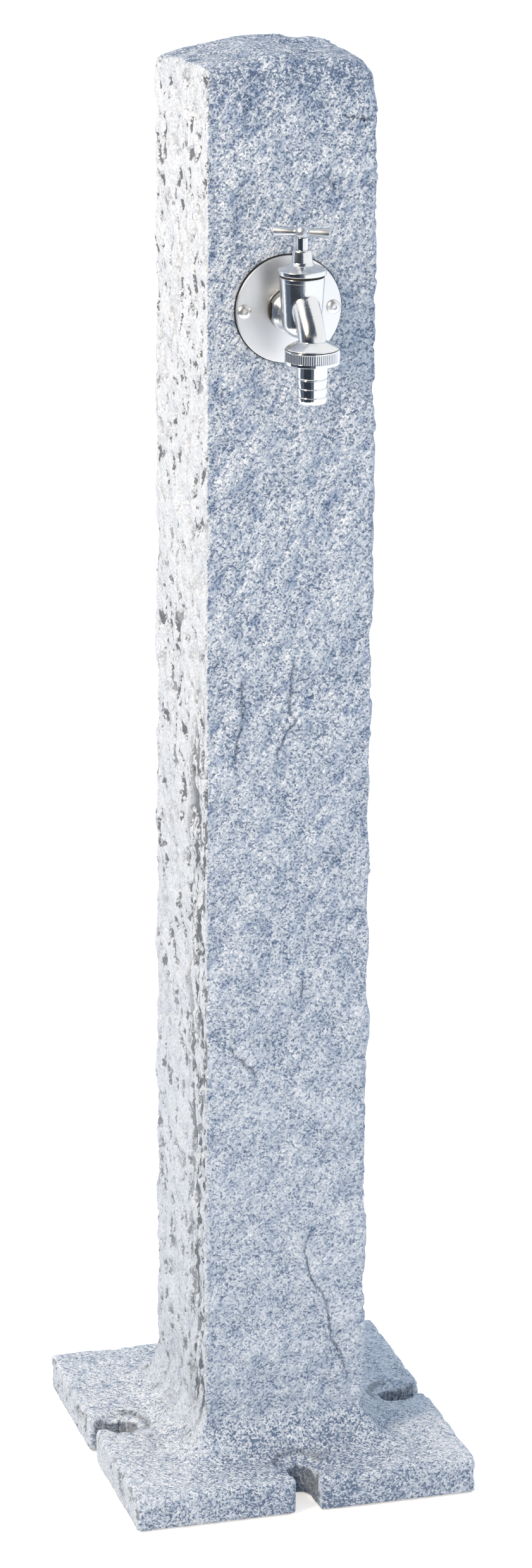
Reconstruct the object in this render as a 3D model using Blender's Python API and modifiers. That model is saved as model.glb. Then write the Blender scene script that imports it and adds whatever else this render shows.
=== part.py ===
"""Garden water post: a hewn-look hollow column on a slotted base, with a hose-union tap.

Metres, +Z up, +X to the right along the front face, the tap on the -Y side.
The origin is the middle of the base's underside.
"""

import math

import bmesh
import bpy
from mathutils import Vector, noise

# Fits
FIT_GAP = 0.0003  # between two seated pieces, and round a shaft in its hole
MERGE = 0.00001
CUT_OVER = 0.004  # how far a cutter runs past the wall it cuts
ROUND_STEPS = 24
SMALL_STEPS = 16
PLATE_STEPS = 40

# Column and base, one hollow moulding
BASE_WIDTH = 0.244
BASE_DEPTH = 0.252
BASE_THICKNESS = 0.0255
BASE_EDGE = 0.0025
POST_WIDTH = 0.114
POST_DEPTH = 0.130
POST_HEIGHT = 1.000  # ground to the highest point of the crown
POST_EDGE = 0.003
FOOT_FILLET = 0.030
FOOT_SINK = 0.0006  # the fillet dips this far into the base, so that it meets it at an angle
CROWN_PEAK_X = -0.0038
CROWN_PEAK_Y = -0.050
CROWN_FALL_X = 0.0077  # fall from the peak over half the width
CROWN_FALL_Y = 0.0027  # fall from the peak over half the depth
CROWN_TWIST = 0.0028  # lifts the back right corner
WALL = 0.006
HEWN_DEPTH = 0.0013  # how far the hewn faces wander
HEWN_PITCH = 0.060  # size of one hewn facet
GOUGE_DEPTH = 0.0022  # of the upright gouges in the two side faces
GOUGE_WIDTH = 0.017
GOUGE_LENGTH = 0.055
GOUGE_EDGE = 0.014  # a gouge dies out this near an upright edge
RING_PITCH = 0.032
COLUMN_CUTS = 4
SIDE_CUTS = 12  # the side faces have more points, for the gouges
FILLET_STEPS = 5

# Anchor slots, one in the middle of each side of the base
SLOT_WIDTH = 0.0163
SLOT_INSET = 0.024  # bolt centre from the base's side
SLOT_MOUTH = 0.004  # rounding where the slot opens
SEAT_RADIUS = 0.0174
SEAT_SINK = 0.003

# Rosette and its screws
TAP_DROP = 0.1648  # top of the crown to the inlet axis
TAP_OFFSET = -0.003
ROSETTE_RADIUS = 0.0356
ROSETTE_THICKNESS = 0.002
ROSETTE_RIM = 0.0004
ROSETTE_SEAL = 0.0012  # thickness of the gasket behind the plate
SEAL_SET_BACK = 0.0005
HOLE_WEB = 0.00225  # left between the wall's hole and an insert's hole
FLAT_RADIUS = 0.065  # the hewn face is flat this far round the tap
FLAT_FADE = 0.025
SCREW_INSET = 0.00535  # screw's axis from the plate's rim
SCREW_RADIUS = 0.0024
SCREW_LENGTH = 0.011
SCREW_HEAD_RADIUS = 0.0047
SCREW_HEAD_HEIGHT = 0.0026
SCREW_KEY = 0.003  # across the flats of the socket
SCREW_KEY_DEPTH = 0.0014
INSERT_WALL = 0.001
INSERT_LENGTH = 0.009

# Tap body, heights from the inlet axis and reaches from the post's face
INLET_THREAD_RADIUS = 0.0105
INLET_THREAD_LENGTH = 0.018  # behind the post's face
INLET_BORE_RADIUS = 0.0055
INLET_WASHER = 0.001
COLLAR_SHOULDER = 0.0036
COLLAR_LENGTH = 0.0075
COLLAR_FLAT_CUT = 0.0014
NECK_WALL = 0.0057
NECK_CONE = 0.004
BARREL_REACH = 0.0335
BARREL_TOP = 0.0282
BARREL_WALL = 0.0041
BARREL_RIM = 0.003
WAIST_WALL = 0.0023
BARREL_WAIST_HEIGHT = -0.002
BARREL_BOTTOM = -0.0128
CHAMBER_RADIUS = 0.0106
VALVE_SEAT = 0.008
SEAT_WEB = 0.003
SEAT_HOLE_RADIUS = 0.0046
LOWER_CHAMBER_RADIUS = 0.0062
LOWER_CHAMBER_DEPTH = 0.012
SPOUT_REACH = 0.058
SPOUT_ROOT = 0.017
SPOUT_END = -0.011
SPOUT_WALL = 0.00415
SPOUT_SWELL = 0.00065  # the spout is this much fatter at its root
SPOUT_BORE_RADIUS = 0.0045
SPOUT_LEAD_OUT = 0.011
SPOUT_LEAD_DOWN = 0.008
SPOUT_STEPS = 12
FLARE_TOP = -0.0086
FLARE_STEP = 0.00035
FLARE_BOTTOM = -0.0133
FLARE_SHOULDER = 0.0038
FLARE_EDGE = 0.0006
UNION_THREAD_RADIUS = 0.0132
UNION_THREAD_LENGTH = 0.004
OUTLET_BORE_RADIUS = 0.0065

# Headwork
BONNET_SEAL = 0.001
BONNET_FLANGE = 0.003
BONNET_OVERHANG = 0.0011
BONNET_CONE = 0.0028
BONNET_NECK_RADIUS = 0.0078
BONNET_SHANK_LENGTH = 0.0113
GLAND_HEIGHT = 0.0102
GLAND_WALL = 0.001
GLAND_CHAMFER = 0.0008
GLAND_LIP = 0.0038
PACKING_HEIGHT = 0.0034
PACKING_WALL = 0.00085
STEM_RADIUS = 0.00375
STEM_SHOW = 0.0079  # neck between the gland and the ball
SPINDLE_THREAD_RADIUS = 0.0055
SPINDLE_SPIGOT_RADIUS = 0.0022
SPINDLE_SPIGOT = 0.0032
VALVE_LIFT = 0.0045
STOP_GAP = 0.0005
BALL_STEP = 0.00105  # the ball is this much fatter than the stem
BAR_LENGTH = 0.0368
BAR_END_RADIUS = 0.0036
BAR_ROOT_RADIUS = 0.0025
BAR_END_ROUND = 0.0005
BAR_SPIGOT_RADIUS = 0.0016
HUB_WEB = 0.0004
BAR_TURN = math.radians(-28)

# Valve
WASHER_RADIUS = 0.0072
WASHER_THICKNESS = 0.0025
JUMPER_RADIUS = 0.0076
JUMPER_DISC = 0.002
JUMPER_STEM_RADIUS = 0.0026
JUMPER_CAP = 0.0023
VALVE_SCREW_RADIUS = 0.0015
VALVE_SCREW_LENGTH = 0.0085
VALVE_SCREW_HEAD_RADIUS = 0.003
VALVE_SCREW_HEAD = 0.0018

# Union and hose tail
NUT_WALL = 0.0043
NUT_LIP = 0.0019
NUT_EDGE = 0.0005
UNION_SEAL = 0.0013
TAIL_FLANGE = 0.0014
TAIL_RADIUS = 0.0100
TAIL_WALL = 0.0028
TAIL_NECK_LENGTH = 0.0121
TAIL_GROOVE = 0.0008
BARB_PITCH = 0.0058
BARB_DROP = 0.0008
BARB_COUNT = 3
TAIL_END = 0.0044

# Supply inside the post
ELBOW_SET_BACK = 0.010  # elbow's shoulder back to the riser's axis
ELBOW_WALL = 0.004
ELBOW_WASHER = 0.0014
BARB_WALL = 0.0026
LEG_STEP = 0.0019
ELBOW_DROP = 0.017
BARB_LENGTH = 0.030
RIB_PITCH = 0.010
RIB_HEIGHT = 0.0005
HOSE_BORE_RADIUS = 0.0099
HOSE_WALL = 0.0031
BACKNUT_WALL = 0.0027
BACKNUT_THICKNESS = 0.006
CLAMP_BAND = 0.0009
CLAMP_WIDTH = 0.009
CLAMP_SET_IN = 0.012  # clamp's middle from the hose's end
CLAMP_HOUSING_LENGTH = 0.014
CLAMP_SCREW_RADIUS = 0.0023
CLAMP_SCREW_LENGTH = 0.020
CLAMP_HEAD_FLATS = 0.007
CLAMP_HEAD_HEIGHT = 0.003
CLAMP_HOUSING_WALL = 0.0012
SPANNER_ROOM = 0.0043
RECESS_DEPTH = 0.010
SOCKET_CLEARANCE = 0.0015  # socket's lower end above the ground
SOCKET_WALL = 0.0049
SOCKET_MOUTH_RADIUS = 0.0121
SOCKET_MOUTH_DEPTH = 0.015
SOCKET_FLANGE_STEP = 0.005
SOCKET_FLANGE = 0.005
SOCKET_WASHER = 0.002
SOCKET_NUT_WALL = 0.0032
SOCKET_NUT_THICKNESS = 0.0062

# Places worked out from the sizes above
FACE_Y = -POST_DEPTH / 2
TAP_HEIGHT = POST_HEIGHT - TAP_DROP
SCREW_SPACING = 2 * (ROSETTE_RADIUS - SCREW_INSET)
INSERT_RADIUS = SCREW_RADIUS + FIT_GAP + INSERT_WALL
WALL_HOLE_RADIUS = SCREW_SPACING / 2 - INSERT_RADIUS - FIT_GAP - HOLE_WEB
COLLAR_RADIUS = INLET_THREAD_RADIUS + COLLAR_SHOULDER
NECK_RADIUS = INLET_BORE_RADIUS + NECK_WALL
BARREL_RADIUS = CHAMBER_RADIUS + BARREL_WALL
BARREL_WAIST = CHAMBER_RADIUS + WAIST_WALL
SPOUT_RADIUS = SPOUT_BORE_RADIUS + SPOUT_WALL
FLARE_RADIUS = UNION_THREAD_RADIUS + FLARE_SHOULDER
BONNET_RADIUS = BARREL_RADIUS + BONNET_OVERHANG
PACKING_RADIUS = STEM_RADIUS + FIT_GAP + PACKING_WALL
GLAND_RADIUS = PACKING_RADIUS + FIT_GAP + GLAND_WALL
BALL_RADIUS = STEM_RADIUS + BALL_STEP
NUT_RADIUS = UNION_THREAD_RADIUS + FIT_GAP + NUT_WALL
TAIL_BORE_RADIUS = TAIL_RADIUS - TAIL_WALL
SEAL_BACK = FIT_GAP
PLATE_BACK = SEAL_BACK + ROSETTE_SEAL + FIT_GAP
PLATE_FRONT = PLATE_BACK + ROSETTE_THICKNESS
WASHER_BACK = PLATE_FRONT + FIT_GAP
COLLAR_BACK = WASHER_BACK + INLET_WASHER + FIT_GAP
BACKNUT_FRONT = PLATE_BACK - FIT_GAP
BACKNUT_BACK = BACKNUT_FRONT - BACKNUT_THICKNESS
BONNET_SEAT = BARREL_TOP + FIT_GAP + BONNET_SEAL + FIT_GAP
FLANGE_TOP = BONNET_SEAT + BONNET_FLANGE
CONE_TOP = FLANGE_TOP + BONNET_CONE
GLAND_TOP = CONE_TOP + GLAND_HEIGHT
SHANK_BOTTOM = BONNET_SEAT - BONNET_SHANK_LENGTH
PACKING_TOP = GLAND_TOP - GLAND_LIP - FIT_GAP
POCKET_BOTTOM = PACKING_TOP - PACKING_HEIGHT - FIT_GAP
STEM_TOP = GLAND_TOP + STEM_SHOW
BALL_FLAT = math.sqrt(BALL_RADIUS**2 - STEM_RADIUS**2)
BALL_HEIGHT = STEM_TOP + FIT_GAP + BALL_FLAT
THREAD_TOP = POCKET_BOTTOM - VALVE_LIFT - STOP_GAP
WASHER_BOTTOM = VALVE_SEAT + FIT_GAP
JUMPER_BOTTOM = WASHER_BOTTOM + WASHER_THICKNESS + FIT_GAP
JUMPER_TOP = JUMPER_BOTTOM + JUMPER_DISC
SPINDLE_BOTTOM = JUMPER_TOP + FIT_GAP
VALVE_SCREW_TOP = VALVE_SEAT + VALVE_SCREW_LENGTH
JUMPER_STEM_TOP = VALVE_SCREW_TOP + FIT_GAP + JUMPER_CAP
FLARE_FOOT = FLARE_BOTTOM - FLARE_EDGE
UNION_THREAD_END = FLARE_FOOT - UNION_THREAD_LENGTH
UNION_SEAL_TOP = UNION_THREAD_END - FIT_GAP
TAIL_TOP = UNION_SEAL_TOP - UNION_SEAL - FIT_GAP
NUT_TOP = FLARE_FOOT - FIT_GAP
NUT_LIP_TOP = TAIL_TOP - TAIL_FLANGE - FIT_GAP
NUT_BOTTOM = NUT_LIP_TOP - NUT_LIP
ELBOW_FRONT = BACKNUT_BACK - FIT_GAP
ELBOW_SHOULDER = -INLET_THREAD_LENGTH - FIT_GAP - ELBOW_WASHER - FIT_GAP
ELBOW_REACH = ELBOW_SET_BACK - ELBOW_SHOULDER
ELBOW_RADIUS = INLET_THREAD_RADIUS + FIT_GAP + ELBOW_WALL
BARB_RADIUS = HOSE_BORE_RADIUS - FIT_GAP
ELBOW_BORE_RADIUS = BARB_RADIUS - RIB_HEIGHT - BARB_WALL
ELBOW_LEG_RADIUS = BARB_RADIUS + LEG_STEP
BACKNUT_FLATS = 2 * (INLET_THREAD_RADIUS + FIT_GAP + BACKNUT_WALL)
SOCKET_RADIUS = SOCKET_MOUTH_RADIUS + SOCKET_WALL
SOCKET_FLANGE_RADIUS = SOCKET_RADIUS + SOCKET_FLANGE_STEP
SOCKET_NUT_FLATS = 2 * (SOCKET_RADIUS + FIT_GAP + SOCKET_NUT_WALL)
RECESS_RADIUS = SOCKET_NUT_FLATS / 2 / math.cos(math.pi / 6) + SPANNER_ROOM
HOSE_RADIUS = HOSE_BORE_RADIUS + HOSE_WALL
RECESS_ROOF = RECESS_DEPTH + WALL
SOCKET_SEAL_BOTTOM = RECESS_ROOF + FIT_GAP
SOCKET_FLANGE_BOTTOM = SOCKET_SEAL_BOTTOM + SOCKET_WASHER + FIT_GAP
SOCKET_FLANGE_TOP = SOCKET_FLANGE_BOTTOM + SOCKET_FLANGE
HOSE_BOTTOM = SOCKET_FLANGE_TOP + FIT_GAP
HOSE_TOP = TAP_HEIGHT - ELBOW_DROP - FIT_GAP


def clear_scene():
    for obj in list(bpy.data.objects):
        bpy.data.objects.remove(obj, do_unlink=True)


def new_collection(name):
    collection = bpy.data.collections.new(name)
    bpy.context.scene.collection.children.link(collection)
    return collection


clear_scene()
PARTS = new_collection("garden_water_post")
CUTTERS = new_collection("cutters")
CUTTERS.hide_render = True


def finish(name, colour, roughness, metallic):
    """One Principled material."""
    material = bpy.data.materials.new(name)
    material.use_nodes = True
    shader = material.node_tree.nodes["Principled BSDF"]
    shader.inputs["Base Color"].default_value = (*colour, 1)
    shader.inputs["Roughness"].default_value = roughness
    shader.inputs["Metallic"].default_value = metallic
    return material


GRANITE = finish("granite_look_plastic", (0.47, 0.53, 0.62), 0.75, 0.0)
CHROME = finish("polished_chrome", (0.82, 0.83, 0.85), 0.08, 1.0)
STEEL = finish("brushed_stainless_steel", (0.62, 0.63, 0.64), 0.3, 1.0)
BRASS = finish("plain_brass", (0.72, 0.52, 0.22), 0.35, 1.0)
RUBBER = finish("black_rubber", (0.02, 0.02, 0.022), 0.8, 0.0)
FIBRE = finish("red_fibre", (0.36, 0.07, 0.05), 0.8, 0.0)
PACKING = finish("white_packing", (0.8, 0.8, 0.78), 0.6, 0.0)


def anchor(name, location, rotation=(0, 0, 0), parent=None):
    """An empty that a group of pieces is placed on."""
    empty = bpy.data.objects.new(name, None)
    empty.location = location
    empty.rotation_euler = rotation
    empty.parent = parent
    PARTS.objects.link(empty)
    return empty


QUARTER = math.pi / 2
GROUND = anchor("ground_centre", (0, 0, 0))
# The inlet's own Z runs out of the post's face, and its Y runs up
INLET = anchor("inlet_axis", (TAP_OFFSET, FACE_Y, TAP_HEIGHT), (QUARTER, 0, 0), GROUND)
SPINDLE = anchor("spindle_axis", (TAP_OFFSET, FACE_Y - BARREL_REACH, TAP_HEIGHT), (0, 0, 0), GROUND)
SPOUT = anchor("spout_axis", (TAP_OFFSET, FACE_Y - SPOUT_REACH, TAP_HEIGHT), (0, 0, 0), GROUND)
RISER = anchor("riser_axis", (TAP_OFFSET, FACE_Y + ELBOW_REACH, 0), (0, 0, 0), GROUND)
TOGGLE = anchor("toggle_axis", (0, 0, BALL_HEIGHT), (0, 0, BAR_TURN), SPINDLE)


def add_object(name, mesh, material, parent, location=(0, 0, 0), rotation=(0, 0, 0)):
    """A part, or a cutter where it has no material."""
    obj = bpy.data.objects.new(name, mesh)
    obj.parent = parent
    obj.location = location
    obj.rotation_euler = rotation
    if material is None:
        CUTTERS.objects.link(obj)
        obj.hide_render = True
        obj.display_type = "WIRE"
    else:
        PARTS.objects.link(obj)
        mesh.materials.append(material)
    return obj


def turned(name, profile, material, parent, ring=False, steps=ROUND_STEPS, **place):
    """A profile of (radius, height) points, turned about its own Z. A ring's profile closes on itself."""
    mesh = bpy.data.meshes.new(name)
    last = len(profile) - 1
    edges = [(i, i + 1) for i in range(last)]
    if ring:
        edges.append((last, 0))
    mesh.from_pydata([(radius, 0, height) for radius, height in profile], edges, [])
    obj = add_object(name, mesh, material, parent, **place)
    screw = obj.modifiers.new("Turn", "SCREW")
    screw.steps = steps
    screw.render_steps = steps
    screw.use_merge_vertices = True
    screw.merge_threshold = MERGE
    return obj


def washer(name, outer, inner, bottom, thickness, material, parent, steps=ROUND_STEPS):
    top = bottom + thickness
    profile = [(outer, top), (outer, bottom), (inner, bottom), (inner, top)]
    return turned(name, profile, material, parent, ring=True, steps=steps)


def prism(name, radius, bottom, top, material, parent, sides=ROUND_STEPS, **place):
    """A round or many-sided bar along its own Z."""
    bm = bmesh.new()
    bmesh.ops.create_cone(
        bm, cap_ends=True, segments=sides, radius1=radius, radius2=radius, depth=top - bottom
    )
    bmesh.ops.translate(bm, verts=bm.verts, vec=(0, 0, (bottom + top) / 2))
    mesh = bpy.data.meshes.new(name)
    bm.to_mesh(mesh)
    bm.free()
    return add_object(name, mesh, material, parent, **place)


def hexagon(name, flats, bottom, top, material, parent, **place):
    radius = flats / 2 / math.cos(math.pi / 6)
    return prism(name, radius, bottom, top, material, parent, sides=6, **place)


def block(name, size, material, parent, **place):
    bm = bmesh.new()
    bmesh.ops.create_cube(bm, size=1)
    bmesh.ops.scale(bm, verts=bm.verts, vec=size)
    mesh = bpy.data.meshes.new(name)
    bm.to_mesh(mesh)
    bm.free()
    return add_object(name, mesh, material, parent, **place)


def combine(obj, tool, operation="DIFFERENCE"):
    boolean = obj.modifiers.new(tool.name, "BOOLEAN")
    boolean.operation = operation
    boolean.object = tool


def rounded(obj, width, segments=2, angle=50):
    bevel = obj.modifiers.new("Round", "BEVEL")
    bevel.width = width
    bevel.segments = segments
    bevel.limit_method = "ANGLE"
    bevel.angle_limit = math.radians(angle)


def curve_to_mesh(name, curve, parent):
    """A cutter or joining shape from a curve, with its caps welded."""
    guide = bpy.data.objects.new(name + "_curve", curve)
    CUTTERS.objects.link(guide)
    bpy.context.view_layer.update()
    graph = bpy.context.evaluated_depsgraph_get()
    mesh = bpy.data.meshes.new_from_object(guide.evaluated_get(graph))
    bpy.data.objects.remove(guide, do_unlink=True)
    bm = bmesh.new()
    bm.from_mesh(mesh)
    bmesh.ops.remove_doubles(bm, verts=bm.verts, dist=MERGE)
    bmesh.ops.recalc_face_normals(bm, faces=bm.faces)
    bm.to_mesh(mesh)
    bm.free()
    return add_object(name, mesh, None, parent)


def arc(centre, radius, start, end, steps):
    """Points on an arc, by angle in degrees."""
    points = []
    for i in range(steps + 1):
        angle = math.radians(start + (end - start) * i / steps)
        points.append((centre[0] + radius * math.cos(angle), centre[1] + radius * math.sin(angle)))
    return points


def smooth_step(value, low, high):
    share = min(max((value - low) / (high - low), 0), 1)
    return share * share * (3 - 2 * share)


# Column


def fillet_spread(height):
    """How far the foot stands out of the column at this height."""
    above = height - BASE_THICKNESS + FOOT_SINK
    if above >= FOOT_FILLET:
        return 0.0
    reach = FOOT_FILLET - max(above, 0)
    return FOOT_FILLET - math.sqrt(FOOT_FILLET**2 - reach**2)


def crown_height(x, y):
    across = (x - CROWN_PEAK_X) / (POST_WIDTH / 2)
    along = (y - CROWN_PEAK_Y) / (POST_DEPTH / 2)
    bowl = CROWN_FALL_X * across**2 + CROWN_FALL_Y * along**2
    return POST_HEIGHT - bowl + CROWN_TWIST * across * along


def crown_lowest():
    """Height of the crown's lowest corner."""
    half_x, half_y = POST_WIDTH / 2, POST_DEPTH / 2
    return min(crown_height(x, y) for x in (-half_x, half_x) for y in (-half_y, half_y))


def gouge(point):
    """How deep the side face is gouged here."""
    if abs(point.x) < POST_WIDTH / 2 - MERGE:
        return 0.0
    upright = Vector((point.x / GOUGE_LENGTH, point.y / GOUGE_WIDTH, point.z / GOUGE_LENGTH))
    inside = smooth_step(POST_DEPTH / 2 - abs(point.y), 0, GOUGE_EDGE)
    return GOUGE_DEPTH * inside * smooth_step(noise.noise(upright), 0, 0.45)


def hewn_offset(point):
    """How far the hewn face wanders here. It is flat round the tap and dies out at the foot."""
    wander = HEWN_DEPTH * noise.noise(point / HEWN_PITCH) - gouge(point)
    foot = smooth_step(point.z, BASE_THICKNESS, BASE_THICKNESS + 2 * FOOT_FILLET)
    on_front = point.y < FACE_Y + MERGE
    if not on_front:
        return wander * foot
    from_tap = math.hypot(point.x - TAP_OFFSET, point.z - TAP_HEIGHT)
    return wander * foot * smooth_step(from_tap, FLAT_RADIUS, FLAT_RADIUS + FLAT_FADE)


def column_levels():
    """Heights of the column's rings: close together in the foot's fillet, then evenly spaced."""
    levels = []
    for i in range(FILLET_STEPS + 1):
        turn = QUARTER * i / FILLET_STEPS
        levels.append(BASE_THICKNESS - FOOT_SINK + FOOT_FILLET * (1 - math.cos(turn)))
    straight = crown_lowest() - levels[-1]
    rings = max(1, round(straight / RING_PITCH))
    start = levels[-1]
    levels += [start + straight * i / rings for i in range(1, rings)]
    return levels


def slice_box(bm, axis, places):
    normal = Vector((0, 0, 0))
    normal[axis] = 1
    for place in places:
        everything = bm.verts[:] + bm.edges[:] + bm.faces[:]
        bmesh.ops.bisect_plane(bm, geom=everything, plane_co=normal * place, plane_no=normal)


def shape_column(bm):
    """Moves the sliced box's points to the foot's fillet, the crown and the hewn faces."""
    half = Vector((POST_WIDTH / 2, POST_DEPTH / 2, 0))
    top = crown_lowest()
    for vert in bm.verts:
        flat = vert.co.copy()
        push = hewn_offset(flat)
        spread = fillet_spread(flat.z)
        for axis in (0, 1):
            side = abs(abs(flat[axis]) - half[axis]) < MERGE
            scale = (half[axis] + spread) / half[axis]
            vert.co[axis] = flat[axis] * scale + (math.copysign(push, flat[axis]) if side else 0)
        if abs(flat.z - top) < MERGE:
            vert.co.z = crown_height(flat.x, flat.y)


def build_column():
    bottom = BASE_THICKNESS / 2
    top = crown_lowest()
    bm = bmesh.new()
    bmesh.ops.create_cube(bm, size=1)
    bmesh.ops.scale(bm, verts=bm.verts, vec=(POST_WIDTH, POST_DEPTH, top - bottom))
    bmesh.ops.translate(bm, verts=bm.verts, vec=(0, 0, (bottom + top) / 2))
    slice_box(bm, 0, [POST_WIDTH * (i / (COLUMN_CUTS + 1) - 0.5) for i in range(1, COLUMN_CUTS + 1)])
    slice_box(bm, 1, [POST_DEPTH * (i / (SIDE_CUTS + 1) - 0.5) for i in range(1, SIDE_CUTS + 1)])
    slice_box(bm, 2, column_levels())
    shape_column(bm)
    mesh = bpy.data.meshes.new("post_shell")
    bm.to_mesh(mesh)
    bm.free()
    column = add_object("post_shell", mesh, GRANITE, GROUND)
    rounded(column, POST_EDGE)
    return column


def slot_outline():
    """One U slot seen from above, its mouth towards +X and the bolt's centre at the origin."""
    half = SLOT_WIDTH / 2
    mouth = SLOT_INSET - SLOT_MOUTH
    outer = half + SLOT_MOUTH
    past = SLOT_INSET + CUT_OVER
    points = arc((0, 0), half, 90, 270, 12)
    points += arc((mouth, -outer), SLOT_MOUTH, 90, 0, 4)
    points += [(past, -outer), (past, outer)]
    points += arc((mouth, outer), SLOT_MOUTH, 0, -90, 4)
    return points


def slot_cutter(name, place, turn):
    curve = bpy.data.curves.new(name, "CURVE")
    curve.dimensions = "2D"
    curve.fill_mode = "BOTH"
    curve.extrude = BASE_THICKNESS
    spline = curve.splines.new("POLY")
    points = slot_outline()
    spline.points.add(len(points) - 1)
    for point, (x, y) in zip(spline.points, points):
        point.co = (x, y, 0, 1)
    spline.use_cyclic_u = True
    cutter = curve_to_mesh(name, curve, GROUND)
    cutter.location = (*place, BASE_THICKNESS / 2)
    cutter.rotation_euler = (0, 0, turn)
    return cutter


def cut_anchor_slots(shell):
    in_x = BASE_WIDTH / 2 - SLOT_INSET
    in_y = BASE_DEPTH / 2 - SLOT_INSET
    places = {
        "right": ((in_x, 0), 0),
        "back": ((0, in_y), QUARTER),
        "left": ((-in_x, 0), 2 * QUARTER),
        "front": ((0, -in_y), 3 * QUARTER),
    }
    floor = BASE_THICKNESS - SEAT_SINK
    over = BASE_THICKNESS + 2 * FOOT_FILLET
    for side, (place, turn) in places.items():
        combine(shell, slot_cutter(f"slot_{side}", place, turn))
        seat = prism(f"seat_{side}", SEAT_RADIUS, floor, over, None, GROUND, location=(*place, 0))
        combine(shell, seat)


def build_cavity():
    """The hollow inside the column, with the boss that carries the supply socket standing in it."""
    top = crown_lowest() - WALL
    size = (POST_WIDTH - 2 * WALL, POST_DEPTH - 2 * WALL, top - WALL)
    cavity = block("cavity", size, None, GROUND, location=(0, 0, (top + WALL) / 2))
    rounded(cavity, POST_EDGE)
    boss = prism("boss", RECESS_RADIUS + WALL, 0, RECESS_ROOF, None, RISER)
    combine(cavity, boss)
    return cavity


def build_post():
    shell = build_column()
    size = (BASE_WIDTH, BASE_DEPTH, BASE_THICKNESS)
    base = block("base", size, None, GROUND, location=(0, 0, BASE_THICKNESS / 2))
    rounded(base, BASE_EDGE)
    combine(shell, base, "UNION")
    combine(shell, build_cavity())
    cut_anchor_slots(shell)
    combine(shell, prism("recess", RECESS_RADIUS, -CUT_OVER, RECESS_DEPTH, None, RISER))
    socket_hole = SOCKET_RADIUS + FIT_GAP
    over = RECESS_ROOF + CUT_OVER
    combine(shell, prism("socket_hole", socket_hole, RECESS_DEPTH - CUT_OVER, over, None, RISER))
    back = -WALL - CUT_OVER
    combine(shell, prism("wall_hole", WALL_HOLE_RADIUS, back, CUT_OVER, None, INLET))
    insert_hole = INSERT_RADIUS + FIT_GAP
    for side, x in (("left", -SCREW_SPACING / 2), ("right", SCREW_SPACING / 2)):
        hole = prism(
            f"insert_hole_{side}", insert_hole, back, CUT_OVER, None, INLET, SMALL_STEPS, location=(x, 0, 0)
        )
        combine(shell, hole)


# Rosette


def build_rosette():
    rim = ROSETTE_RADIUS - ROSETTE_RIM
    hole = INLET_THREAD_RADIUS + FIT_GAP
    profile = [
        (rim, PLATE_FRONT),
        (ROSETTE_RADIUS, PLATE_FRONT - ROSETTE_RIM),
        (ROSETTE_RADIUS, PLATE_BACK),
        (hole, PLATE_BACK),
        (hole, PLATE_FRONT),
    ]
    plate = turned("rosette_plate", profile, STEEL, INLET, ring=True, steps=PLATE_STEPS)
    seal_radius = ROSETTE_RADIUS - SEAL_SET_BACK
    seal = washer(
        "rosette_gasket", seal_radius, WALL_HOLE_RADIUS, SEAL_BACK, ROSETTE_SEAL, RUBBER, INLET, PLATE_STEPS
    )
    for side, x in (("left", -SCREW_SPACING / 2), ("right", SCREW_SPACING / 2)):
        low, high = SEAL_BACK - CUT_OVER, PLATE_FRONT + CUT_OVER
        clear = SCREW_RADIUS + FIT_GAP
        hole = prism(f"screw_hole_{side}", clear, low, high, None, INLET, SMALL_STEPS, location=(x, 0, 0))
        combine(plate, hole)
        combine(seal, hole)
        build_rosette_screw(side, x)


def build_rosette_screw(side, x):
    """A button-head socket screw and the insert that it is driven into."""
    seat = PLATE_FRONT + FIT_GAP
    crown = arc((0, 0), 1, 78, 0, 5)
    profile = [(0, seat + SCREW_HEAD_HEIGHT)]
    profile += [(SCREW_HEAD_RADIUS * a, seat + SCREW_HEAD_HEIGHT * b) for a, b in crown]
    profile += [(SCREW_RADIUS, seat), (SCREW_RADIUS, seat - SCREW_LENGTH), (0, seat - SCREW_LENGTH)]
    place = {"location": (x, 0, 0)}
    screw = turned(f"rosette_screw_{side}", profile, STEEL, INLET, steps=SMALL_STEPS, **place)
    top = seat + SCREW_HEAD_HEIGHT
    key = hexagon(f"screw_key_{side}", SCREW_KEY, top - SCREW_KEY_DEPTH, top + CUT_OVER, None, INLET, **place)
    combine(screw, key)
    bore = SCREW_RADIUS + FIT_GAP
    outer = INSERT_RADIUS
    front = SEAL_BACK - FIT_GAP
    back = front - INSERT_LENGTH
    profile = [(outer, front), (outer, back), (bore, back), (bore, front)]
    turned(f"insert_{side}", profile, BRASS, INLET, ring=True, steps=SMALL_STEPS, **place)


# Tap body


def barrel_profile():
    height = BARREL_WAIST_HEIGHT - BARREL_BOTTOM
    profile = [(0, BARREL_TOP), (BARREL_RADIUS, BARREL_TOP), (BARREL_RADIUS, BARREL_TOP - BARREL_RIM)]
    for a, b in arc((0, 0), 1, 0, -90, 6)[:-1]:
        profile.append((BARREL_WAIST * a, BARREL_WAIST_HEIGHT + height * b))
    profile.append((0, BARREL_BOTTOM))
    return profile


def inlet_profile():
    collar_end = COLLAR_BACK + COLLAR_LENGTH
    neck_start = collar_end + NECK_CONE
    inside = BARREL_REACH - LOWER_CHAMBER_RADIUS
    return [
        (0, inside),
        (NECK_RADIUS, inside),
        (NECK_RADIUS, neck_start),
        (COLLAR_RADIUS, collar_end),
        (COLLAR_RADIUS, COLLAR_BACK),
        (INLET_THREAD_RADIUS, COLLAR_BACK),
        (INLET_THREAD_RADIUS, -INLET_THREAD_LENGTH),
        (0, -INLET_THREAD_LENGTH),
    ]


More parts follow.
